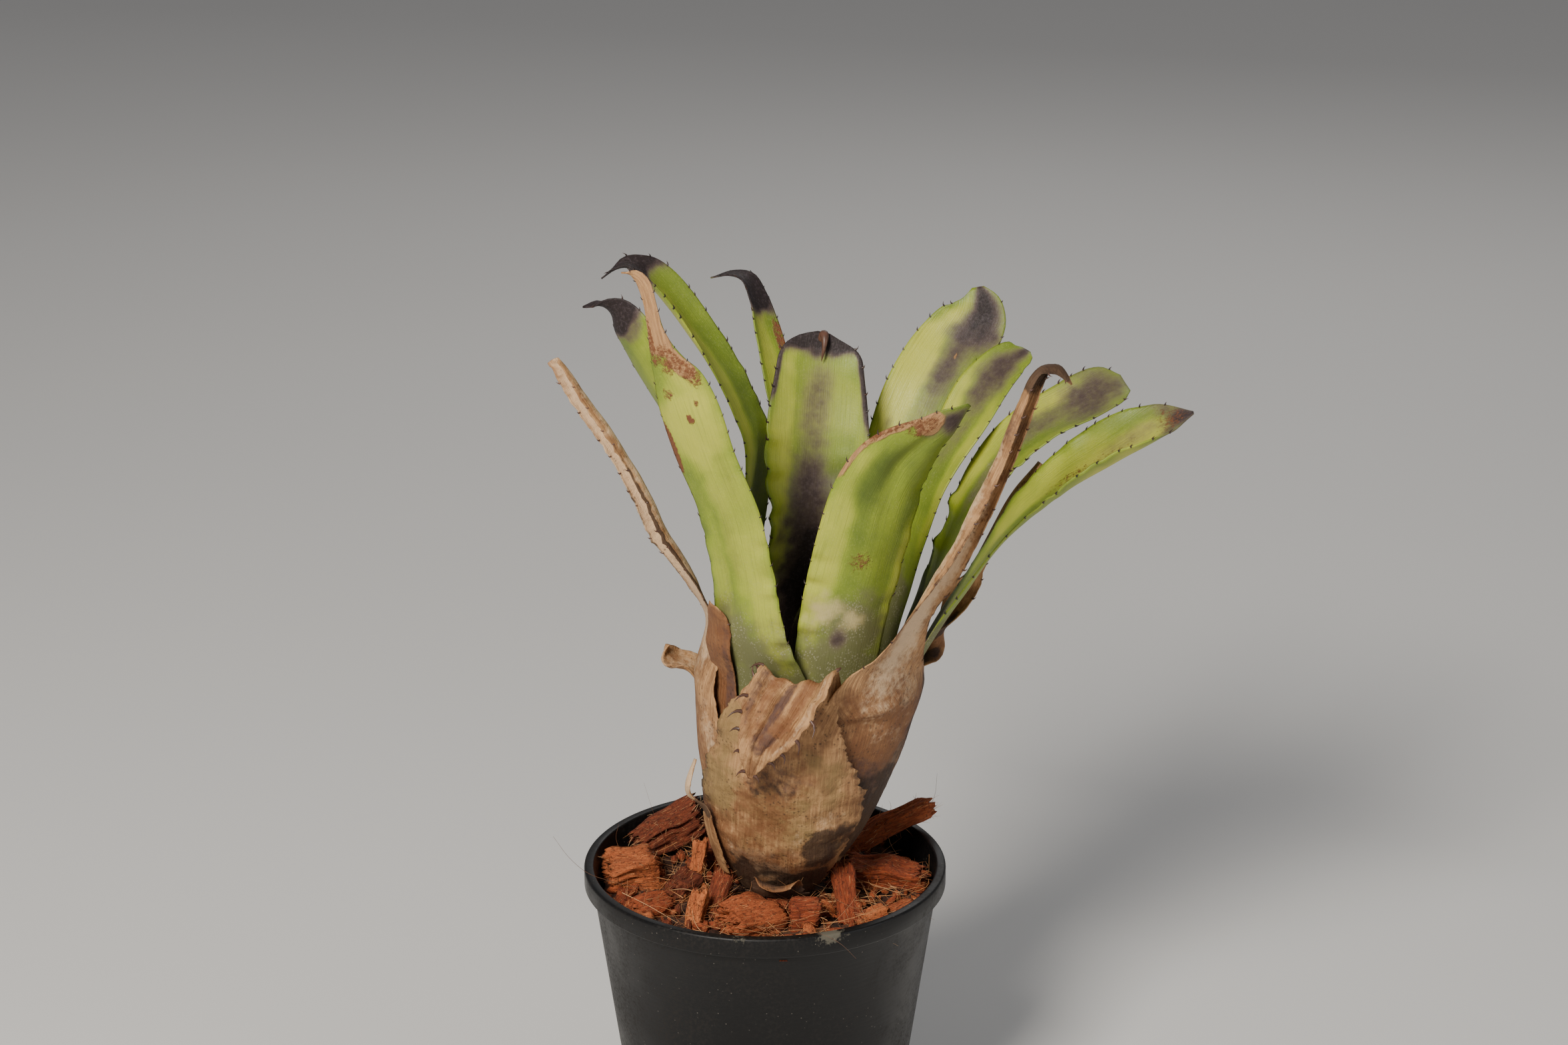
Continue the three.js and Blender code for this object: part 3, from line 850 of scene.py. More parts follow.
class Leaf:
    """Builds a leaf's surface, mesh, tones and spines from its shape."""

    sheath_steps = 8
    least_width = 0.6
    ripple_fade = 8.0
    folds_level = 0.45
    least_fold = 0.15
    spine_radii = (0.40, 0.28, 0.15, 0.02)

    def __init__(self, shape: LeafShape, trunk: Trunk, number: int) -> None:
        """Works out the leaf's spine and surface.

        Args:
            shape: What the leaf looks like.
            trunk: The bundle that it grows in.
            number: Its place in the list, which seeds its unevenness.
        """
        self.shape, self.trunk, self.number = shape, trunk, number
        self._lay_spine()
        self._lay_surface()

    def _lay_spine(self) -> None:
        """Runs the centre line up the sheath and out along the blade."""
        s, t = self.shape, self.trunk
        share = np.arange(self.sheath_steps + 1) / self.sheath_steps
        heights = ramp_between(share, s.rise, s.neck)
        radii = t.radius(heights) - s.layer * t.layer_pitch
        sheath = t.polar(radii, s.azimuth, heights)
        easing = smoothstep(share, 0.45, 1.0)
        widths = np.radians(s.span) * radii * (1 - easing) + s.neck_width * easing
        blade = np.array(s.blade)
        points = t.polar(t.radius(t.collar) + blade[:, 0], blade[:, 1], blade[:, 2])
        line, knots = through(np.vstack([sheath, points]))
        steps = np.linalg.norm(np.diff(line, axis=0), axis=1)
        reach = np.concatenate([[0.0], np.cumsum(steps)])
        even = np.linspace(0, reach[-1], s.rows)
        self.centre = np.stack([np.interp(even, reach, line[:, k]) for k in range(3)], axis=-1)
        self.knot = np.interp(even, reach, knots)
        self.along = unit(np.gradient(self.centre, axis=0))
        self.width = np.maximum(along_list([*widths, *blade[:, 3]], self.knot), self.least_width)
        self.neck_share = self.sheath_steps / knots[-1]
        self.knot_share = self.knot / knots[-1]
        self.blade_share = np.clip((self.knot_share - self.neck_share) / (1 - self.neck_share), 0, 1)
        self.distance = even - np.interp(self.sheath_steps, self.knot, even)

    def _lay_surface(self) -> None:
        """Spreads the cross-section over the centre line, then waves, ripples and dents it."""
        s = self.shape
        axis = self.trunk.axis(self.centre[:, 2] - self.trunk.soil)
        offset = self.centre - axis
        radius = np.hypot(offset[:, 0], offset[:, 1])
        half_way = self.blade_share < 0.5
        first = ramp_between(2 * self.blade_share, s.azimuth, s.face[0])
        second = ramp_between(2 * self.blade_share - 1, s.face[0], s.face[1])
        facing = np.radians(np.where(half_way, first, second))
        side = np.stack([-np.sin(facing), np.cos(facing), 0 * facing], axis=-1)
        side = unit(side - self.along * np.sum(side * self.along, axis=1, keepdims=True))
        inward = np.cross(self.along, side)
        grip = smoothstep(self.blade_share, 0.0, 0.6)
        own = ramp_between(smoothstep(self.blade_share, 0.55, 1.0), s.bend[0], s.bend[1])
        bend = (1 - grip) / radius + grip * own
        bend = np.where(np.abs(bend) < 1e-4, 1e-4, bend)
        self.across = np.linspace(-1, 1, s.columns)
        ragged = self._wander(0.35, self.number * 5.0, 0.0)
        ragged = ragged + 0.6 * self._wander(1.3, self.number * 9.0, 4.0)
        half = (self.width / 2 * (1 + s.rough_edge * ragged))[:, None]
        turn = self.across[None, :] * half * bend[:, None]
        blade = (self.centre[:, None]
                 + side[:, None] * (np.sin(turn) / bend[:, None])[..., None]
                 + inward[:, None] * ((1 - np.cos(turn)) / bend[:, None])[..., None])
        around = np.arctan2(offset[:, 1], offset[:, 0])[:, None] + self.across * half / radius[:, None]
        sheath = axis[:, None] + np.stack([radius[:, None] * np.cos(around), radius[:, None] * np.sin(around),
                                           0 * around], axis=-1)
        leaves, free = self.neck_share * 0.75, self.neck_share + (1 - self.neck_share) * 0.4
        share = smoothstep(self.knot_share, leaves, free)
        surface = sheath + (blade - sheath) * share[:, None, None]
        self.half = half[:, 0]
        self.warp = np.stack([noise_at(surface, 0.085, self.number + k) + 0.5 * noise_at(surface, 0.24, k)
                              for k in (20.0, 60.0)])
        self.surface = surface + self._normals(surface) * self._relief(surface)[..., None]
        self.normal = self._normals(self.surface)

    def _wander(self, scale: float, *start: float) -> Points:
        """Smooth noise along the leaf, read on a line through a place in the noise."""
        return np.array([noise.noise(Vector((d * scale, *start))) for d in self.distance])

    @staticmethod
    def _normals(surface: Points) -> Points:
        """Unit normals that point to the leaf's inner side."""
        return unit(np.cross(np.gradient(surface, axis=0), np.gradient(surface, axis=1)))

    def _relief(self, surface: Points) -> Points:
        """How far each point is pushed along its normal."""
        s = self.shape
        free = smoothstep(self.distance, -12.0, 25.0)[:, None]
        lift = s.wave * free * noise_at(surface, 0.055, self.number) * 1.6
        if s.crumple:
            folds = 0.55 * noise_at(surface, 0.075, self.number + 7)
            folds = folds + 0.30 * noise_at(surface, 0.19, self.number + 8)
            folds = folds + 0.15 * noise_at(surface, 0.48, self.number + 9)
            foot = smoothstep(self.knot_share, 0.0, 0.15)[:, None]
            lift = lift - s.crumple * foot * np.maximum(self.folds_level + folds, self.least_fold)
        for ripple in s.ripples:
            starts = smoothstep(self.distance, ripple.start, ripple.start + self.ripple_fade)
            ends = smoothstep(self.distance, ripple.end - self.ripple_fade, ripple.end)
            reach = (starts * (1 - ends))[:, None]
            near = smoothstep(self.across * ripple.edge, 0.35, 0.95)[None, :]
            sway = self._wander(0.11, ripple.start, self.number)
            phase = 2 * math.pi * self.distance / ripple.pitch + 2.5 * sway
            swell = (0.65 + 0.9 * sway) * np.sin(phase)
            lift = lift + ripple.height * reach * near * swell[:, None]
        for dent in s.dents:
            lift = lift + dent.depth * self._oval(dent, 1.0)
        return lift

    def _oval(self, oval: Patch | Dent, soft: float, warp: float = 0.0) -> Points:
        """1 inside an oval of the leaf, falling to 0 outside it, with its outline pulled about by warp."""
        step = (self.distance[:, None] - oval.along) / oval.length
        aside = (self.across[None, :] - oval.across) / oval.width
        if warp:
            step = step + warp * self.warp[0]
            aside = aside + warp * self.warp[1]
        return 1 - smoothstep(np.hypot(step, aside), 1 - soft, 1 + soft * 0.6)

    def tones(self) -> dict[Tone, Points]:
        """Each tone over both skins: outer first, then inner."""
        found = {}
        for tone in Tone:
            skins = np.zeros((2, *self.surface.shape[:2]))
            for patch in self.shape.patches:
                if patch.tone is not tone:
                    continue
                oval = patch.strength * self._oval(patch, patch.soft, patch.warp)
                for skin, name in enumerate((Side.OUTER, Side.INNER)):
                    if patch.side in (Side.BOTH, name):
                        skins[skin] = np.maximum(skins[skin], oval)
            found[tone] = skins
        return found

    def build(self, finish: bpy.types.Material, slot: Slot) -> bpy.types.Object:
        """Makes the leaf's closed mesh: two skins joined round the border.

        Args:
            finish: Its material.
            slot: The finish's name; not used.

        Returns:
            The object.
        """
        s = self.shape
        bm = bmesh.new()
        thick = ramp_between(np.abs(self.across) ** 2, s.thickness, s.edge)[None, :]
        thin_tip = 1 - 0.5 * smoothstep(self.blade_share, 0.85, 1.0)[:, None]
        shift = self.normal * (thick * thin_tip / 2)[..., None]
        order = []
        for skin, sign in enumerate((-1, 1)):
            row, column = lay_skin(bm, self.surface + sign * shift)
            order.append(np.stack([np.full(len(row), skin), row, column], axis=-1))
            if skin == 0:
                bmesh.ops.reverse_faces(bm, faces=list(bm.faces))
        border = [edge for edge in bm.edges if edge.is_boundary]
        bmesh.ops.bridge_loops(bm, edges=border)
        bmesh.ops.recalc_face_normals(bm, faces=bm.faces)
        piece = object_from(bm, f"{s.name}_blade", finish)
        skin, row, column = np.vstack(order).T
        for tone, values in self.tones().items():
            set_attribute(piece, tone.value, values[skin, row, column])
        flat_x = (self.across[None, :] * self.half[:, None])[row, column] * 0.1
        set_uv(piece, np.stack([flat_x + self.number * 7.0, self.distance[row] * 0.1], axis=-1))
        return publish(piece, [s.name] if s.replaces else [])

    def spines(self, finish: bpy.types.Material, tone: float) -> bpy.types.Object | None:
        """Small hooks along both margins, pointing out and forward.

        Args:
            finish: Their material.
            tone: How pale they are, from 0 to 1.

        Returns:
            The object, or None on a leaf with no spines.
        """
        s = self.shape
        if s.spine_length <= 0:
            return None
        rng = scatter(100 + self.number)
        paths, tones = [], []
        length = self.distance[-1]
        for column, inner in ((0, 1), (s.columns - 1, s.columns - 2)):
            at = s.spines_from + rng.uniform(0, s.spine_pitch)
            while at < length - 2:
                row = int(np.argmin(np.abs(self.distance - at)))
                foot = self.surface[row, column]
                out = unit(foot - self.surface[row, inner])
                ahead = self.along[row]
                size = 1.45 * s.spine_length * rng.uniform(0.6, 1.25)
                rise = self.normal[row, column] * rng.uniform(-0.15, 0.25)
                steps = np.linspace(0, 1, 4)[:, None]
                hook = out * (1 - 0.35 * steps) + ahead * 0.75 * steps + rise
                path = foot - out * 0.35 + size * steps * hook
                paths.append((path, np.array(self.spine_radii) * (0.6 + 0.4 * s.spine_length)))
                tones.append(float(np.clip(tone + rng.uniform(-0.15, 0.15), 0, 1)))
                at += s.spine_pitch * rng.uniform(0.6, 1.4)
        return publish(strands(f"{s.name}_spines", paths, 6, finish, tones))


def marks(tone: Tone, *spots: tuple[float, ...], side: Side = Side.BOTH, soft: float = 0.45,
          warp: float = 0.25) -> tuple[Patch, ...]:
    """Several patches of one tone: along, across, length, width and, if given, strength."""
    return tuple(Patch(tone, *spot[:4], spot[4] if len(spot) > 4 else 1.0, side, soft, warp)
                 for spot in spots)


BLOTCHY = {"soft": 0.8, "warp": 0.7}
OUTSIDE = {"side": Side.OUTER, **BLOTCHY}
GREY_FOOT = marks(Tone.GREY, (0, 0, 34, 1.5, 0.8))
DRY = {"thickness": 0.8, "edge": 0.35}

GREEN_LEAVES = (
    LeafShape(
        "leaf_front_left", 4, 243, neck_width=30, face=(250, 245), bend=(1 / 26, 1 / 7),
        blade=(
            (3, 236, 103, 26), (6.5, 232.5, 121, 23.5), (12.5, 227.5, 143, 22.5), (20.5, 222, 162, 21.5),
            (27, 220, 177, 21), (31, 218, 187, 17.5), (33.5, 216.5, 192, 12.5), (36, 215, 198, 8),
            (38, 214, 204, 5.2), (40, 213, 211.5, 4.2), (41.5, 211.5, 217, 4.6), (43, 210.5, 219.5, 4),
            (45, 209, 220.5, 2.4), (47, 208, 220.5, 0.6),
        ),
        ripples=(Ripple(1, 8, 62, 0.85, 8.5), Ripple(-1, 35, 70, 0.35, 11)),
        dents=(Dent(70, 0.3, 14, 0.5, -0.8),),
        patches=(
            *marks(Tone.PALE, (62, 0.35, 36, 0.8, 0.55), (98, 0.0, 20, 1.1, 0.8), (30, 0.6, 26, 0.4, 0.6),
                   (40, -0.6, 30, 0.35, 0.45)),
            *marks(Tone.GREY, (-4, -0.1, 34, 1.6, 1.0), (20, -0.5, 19, 0.8, 0.9), (18, 0.9, 16, 0.4, 0.6),
                   soft=0.8),
            *marks(Tone.DRY, (147, 0.0, 29, 1.8, 1.0), (119, 0.55, 9, 0.5, 0.8), soft=0.25, warp=0.3),
            *marks(Tone.SCAB, (120, 0.1, 6, 0.8, 0.53), (114, 0.62, 6, 0.38, 0.55),
                   (109, -0.5, 2.5, 0.25, 0.5), (99, 0.02, 1.8, 0.12, 1.0), (88, -0.97, 9, 0.2, 1.0),
                   (104, 0.35, 1.2, 0.08, 0.7), (126, -0.7, 9, 0.3, 0.55), soft=0.3),
            *marks(Tone.PURPLE, (152, 0.0, 8, 2.0, 0.62)),
            # Painted shade: darker green where the blade lies in shade.
            *marks(Tone.OLIVE, (52, -0.15, 24, 0.45, 0.36), (78, 0.5, 16, 0.3, 0.34), soft=0.9),
        ),
        spine_length=0.9, spines_from=20,
    ),
    LeafShape(
        "leaf_front_right", 5, 282, neck_width=28, face=(292, 292), bend=(1 / 30, 1 / 24),
        blade=(
            (-6.5, 282.5, 108, 30), (-4.8, 285, 123, 32), (-2.8, 286.5, 134, 33), (-0.5, 288.5, 148, 32.5),
            (1.6, 292.5, 157.5, 30), (4, 299, 165, 22.5), (7, 305, 170.5, 14), (9.5, 309.5, 175, 7.5),
            (12.5, 312, 178.5, 2),
        ),
        ripples=(Ripple(-1, 12, 50, 0.95, 8.5), Ripple(1, 24, 84, 0.5, 14)),
        dents=(Dent(84, 0.0, 12, 0.25, 1.6), Dent(76, 0.55, 20, 0.3, -0.9), Dent(30, 0.0, 16, 0.6, -0.8)),
        patches=(
            *marks(Tone.PALE, (46, -0.75, 42, 0.35, 0.62), (38, 0.9, 26, 0.2, 0.5),
                   (60, 0.2, 26, 0.35, 0.16)),
            *marks(Tone.GREY, (-6, 0.0, 34, 1.8, 1.0), (20, 0.25, 18, 0.8, 0.85), soft=0.7),
            *marks(Tone.RUST, (29, -0.46, 8, 0.6, 0.66), (25.5, 0.1, 5, 0.34, 0.6), soft=0.95, warp=0.45),
            *marks(Tone.DRY, (99, -0.7, 5, 0.8, 0.85), (91, -1.0, 10, 0.28, 0.8), (80, -1.0, 9, 0.14, 0.7),
                   soft=0.4, warp=0.3),
            *marks(Tone.SCAB, (47, -0.05, 4.5, 0.3, 0.5), (97, -0.6, 6, 0.5, 0.52),
                   (88, -0.97, 8, 0.14, 0.6), soft=0.6),
            *marks(Tone.PURPLE, (19.5, -0.12, 5.0, 0.26, 0.62), (104, 0.3, 6, 1.2, 0.66),
                   (97, -0.2, 4, 0.5, 0.45), soft=0.8),
            # Painted shade: darker green where the blade lies in shade, with a thin strip down the middle of
            # the channel.
            *marks(Tone.OLIVE, (76, -0.3, 17, 0.42, 0.66), (68, 0.08, 30, 0.1, 0.4),
                   (48, 0.35, 14, 0.25, 0.42), (84, 0.3, 12, 0.3, 0.45), soft=0.9),
        ),
        spine_length=1.1,
    ),
    LeafShape(
        "leaf_right_low", 3, 348, face=(372, 396), bend=(1 / 15, 1 / 18),
        blade=(
            (12.5, 348, 119, 25), (21.5, 351, 132, 29), (33.5, 352.5, 143, 31), (45.5, 353, 151.5, 32),
            (55.5, 353.5, 158.5, 28), (61.5, 354, 163, 20), (66, 354, 166, 9), (69.5, 354, 167.5, 1.5),
        ),
        ripples=(Ripple(1, 50, 100, 0.5, 12), Ripple(-1, 60, 110, 0.4, 9)),
        patches=(
            *marks(Tone.PALE, (70, 0.5, 34, 0.5, 0.55), (98, -0.2, 22, 0.8, 0.85)),
            *marks(Tone.PALE, (60, 0.0, 60, 1.4, 0.3), side=Side.OUTER),
            *marks(Tone.GREY, (0, 0.0, 34, 1.5, 0.85), (40, 0.0, 24, 0.6, 0.4)),
            *marks(Tone.SCAB, (88, 0.1, 20, 0.22, 0.42), (119, 0.0, 6, 1.0, 0.48), soft=0.8),
            *marks(Tone.PURPLE, (124, 0.0, 12, 1.8, 0.72), (106, 0.2, 16, 0.5, 0.42), soft=0.9),
        ),
        spine_length=1.2,
    ),
    LeafShape(
        "leaf_right", 4, 8, face=(34, 50), bend=(1 / 24, 1 / 30),
        blade=(
            (2, 1, 127, 22), (8.5, 8, 137, 23.5), (16, 11, 146, 25), (25.5, 11, 154.5, 26),
            (38, 10, 161.5, 27.5), (44.5, 10.5, 165.5, 25), (48.5, 10.5, 167.5, 20),
            (51.5, 10.5, 168.5, 10),
        ),
        ripples=(Ripple(1, 22, 66, 1.3, 17), Ripple(-1, 40, 90, 0.4, 9)),
        patches=(
            *marks(Tone.PALE, (80, 0.7, 30, 0.4, 0.6), (70, -0.8, 40, 0.25, 0.3)),
            *marks(Tone.PURPLE, (110, 0.1, 22, 1.3, 0.6), (92, 0.15, 22, 0.6, 0.5),
                   (70, 0.1, 24, 0.35, 0.38), soft=0.9),
            *marks(Tone.GREY, (0, 0, 32, 1.5, 0.8), (70, 0.0, 20, 0.4, 0.5)),
        ),
        spine_length=1.2,
    ),
    LeafShape(
        "leaf_right_back", 8, 30, neck_width=21, face=(46, 58), bend=(1 / 26, 1 / 30),
        blade=(
            (-4, 28, 134, 20), (7, 30.5, 152, 22), (14.5, 33, 161.5, 22), (20, 33.5, 167, 20),
            (24.5, 33, 171, 17), (27.5, 32, 173, 12), (29, 32, 174, 4),
        ),
        patches=(
            *marks(Tone.PALE, (70, 0.8, 30, 0.4, 0.7), (66, -0.8, 30, 0.35, 0.5)),
            *marks(Tone.PURPLE, (102, 0.0, 28, 0.8, 0.62), (74, 0.0, 20, 0.5, 0.4), soft=0.8), *GREY_FOOT,
        ),
        spine_length=0.8,
    ),
    LeafShape(
        "leaf_back_right", 6, 66, neck_width=26, face=(80, 78), bend=(1 / 34, 1 / 44),
        blade=(
            (0, 55, 137, 28.5), (8.5, 55, 156, 29.5), (17, 54, 167, 29), (23.5, 53, 174, 26.5),
            (28, 52, 180.5, 21.5), (29.5, 52.5, 185.5, 15), (30, 54, 190, 4),
        ),
        ripples=(Ripple(-1, 40, 80, 0.5, 10),),
        patches=(
            *marks(Tone.PALE, (86, 0.6, 34, 0.45, 0.95), (60, 0.2, 26, 0.6, 0.42),
                   (92, -0.9, 22, 0.22, 0.85)),
            *marks(Tone.PURPLE, (117, -0.25, 17, 0.8, 0.9), (97, -0.1, 28, 0.48, 0.62),
                   (68, -0.05, 28, 0.44, 0.42), (70, 0.62, 3.5, 0.16, 0.42), soft=0.95),
            *GREY_FOOT, *marks(Tone.DRY, (99, -0.12, 1.3, 0.07, 0.8), soft=0.3),
        ),
        spine_length=1.0,
    ),
    LeafShape(
        "leaf_back", 9, 100, neck_width=27, face=(96, 90), bend=(1 / 30, 1 / 60),
        blade=(
            (-21, 112, 124, 34), (-17.5, 110, 139, 37), (-15.5, 109, 147, 36.5), (-12, 108, 158, 33.5),
            (-9, 107.5, 168, 30), (-7.2, 107, 173, 28), (-6, 106.5, 176.5, 23.5), (-5.3, 106, 179, 15),
            (-5, 105.5, 181, 4),
        ),
        ripples=(Ripple(1, 14, 76, 1.0, 9.5), Ripple(-1, 36, 66, 0.9, 11)),
        dents=(Dent(62, -0.55, 4.0, 0.42, 0.45), Dent(52, -0.6, 4.0, 0.45, 0.45)),
        patches=(
            *marks(Tone.PALE, (60, 0.7, 44, 0.3, 0.62), (84, -0.25, 20, 0.75, 0.34),
                   (50, -0.85, 26, 0.2, 0.35)),
            *marks(Tone.PURPLE, (105.5, 0.0, 9.0, 3.0, 1.0), (88, -1.0, 22, 0.15, 0.8),
                   (92, 1.0, 14, 0.15, 0.7), soft=0.5, warp=0.3),
            *marks(Tone.PURPLE, (12, 0.0, 44, 0.95, 1.0), (46, 0.02, 34, 0.66, 0.66),
                   (80, 0.02, 30, 0.52, 0.52), (60, -0.95, 14, 0.2, 0.3), soft=0.9),
            # Painted shade: darker green where the blade lies in shade.
            *marks(Tone.OLIVE, (60, -0.55, 18, 0.3, 0.35), (44, 0.35, 14, 0.2, 0.4), soft=0.9),
            *marks(Tone.GREY, (0, 0, 26, 1.4, 0.5)),
        ),
        spine_length=1.3, spine_pitch=6.5,
    ),
    LeafShape(
        "leaf_back_tall", 7, 115, neck_width=18, face=(150, 165), bend=(1 / 13, 1 / 8),
        blade=(
            (-2, 111, 142, 14), (7.5, 117, 161, 13.5), (15.5, 118, 172, 13), (22.5, 118.5, 180, 13),
            (26.5, 119.5, 186, 12), (31, 121, 191.5, 10), (35.5, 123.5, 192.5, 6), (40, 127, 191, 1),
        ),
        patches=(
            *marks(Tone.PALE, (80, 0.3, 40, 0.6, 0.5)), *marks(Tone.PURPLE, (122, 0.0, 17, 2.0, 0.95)),
            *marks(Tone.SCAB, (98, -0.8, 9, 0.4, 0.7)), *GREY_FOOT,
        ),
        spine_length=0.9,
    ),
    LeafShape(
        "leaf_back_left", 5, 156, face=(160, 164), bend=(1 / 11, 1 / 8),
        blade=(
            (-8, 152, 149, 19), (-2, 152.5, 160, 19), (5, 153, 169.5, 19.5), (12, 153.5, 177, 20),
            (19, 154.5, 184.5, 20), (25, 156, 191.5, 20), (30.5, 158, 198, 19), (35.5, 160.5, 203, 16),
            (40, 162, 205.5, 10.5), (43, 163.5, 205, 5.5), (47, 165, 202, 1),
        ),
        ripples=(Ripple(-1, 60, 120, 0.4, 10),),
        patches=(
            *marks(Tone.PALE, (100, 0.5, 50, 0.6, 0.62)), *marks(Tone.PURPLE, (146, 0.0, 16, 2.0, 1.0)),
            *marks(Tone.GREY, (10, 0, 44, 1.5, 0.8)),
        ),
        spine_length=1.2,
    ),
    LeafShape(
        "leaf_left", 6, 210, face=(225, 220), bend=(1 / 24, 1 / 9),
        blade=(
            (-1.5, 222, 123, 24), (3, 214.5, 139, 22.5), (10, 207, 155, 23), (19, 200, 171, 23.5),
            (27.5, 194.5, 184, 23), (34.5, 190.5, 194, 20), (39, 188, 200, 14), (43.5, 186.5, 202, 6),
            (48.5, 185.5, 201, 1),
        ),
        patches=(
            *marks(Tone.PALE, (80, 0.2, 44, 0.7, 0.45)),
            *marks(Tone.PURPLE, (137, 0.0, 13, 2.0, 1.0), (126, 0.2, 6, 0.7, 0.5)), *GREY_FOOT,
        ),
        spine_length=1.0,
    ),
    LeafShape(
        "heart_leaf_front", 10, 265, rise=27, neck=60, span=80, neck_width=16, face=(265, 265),
        bend=(1 / 13, 1 / 13), blade=((-25, 266, 92, 16), (-27, 268, 108, 2)), rows=60, columns=16,
        patches=(*marks(Tone.PURPLE, (40, 0, 24, 1.5, 0.7)), *marks(Tone.GREY, (0, 0, 26, 1.5, 0.6))),
        spine_length=0.7,
    ),
    LeafShape(
        "heart_leaf_back", 11.5, 120, rise=27, neck=60, span=80, neck_width=14, face=(120, 120),
        bend=(1 / 10, 1 / 10), blade=((-29, 120, 84, 13), (-31, 120, 98, 2)), rows=60, columns=16,
        patches=(*marks(Tone.PURPLE, (30, 0, 24, 1.5, 0.7)), *marks(Tone.GREY, (0, 0, 26, 1.5, 0.6))),
        spine_length=0.7,
    ),
)

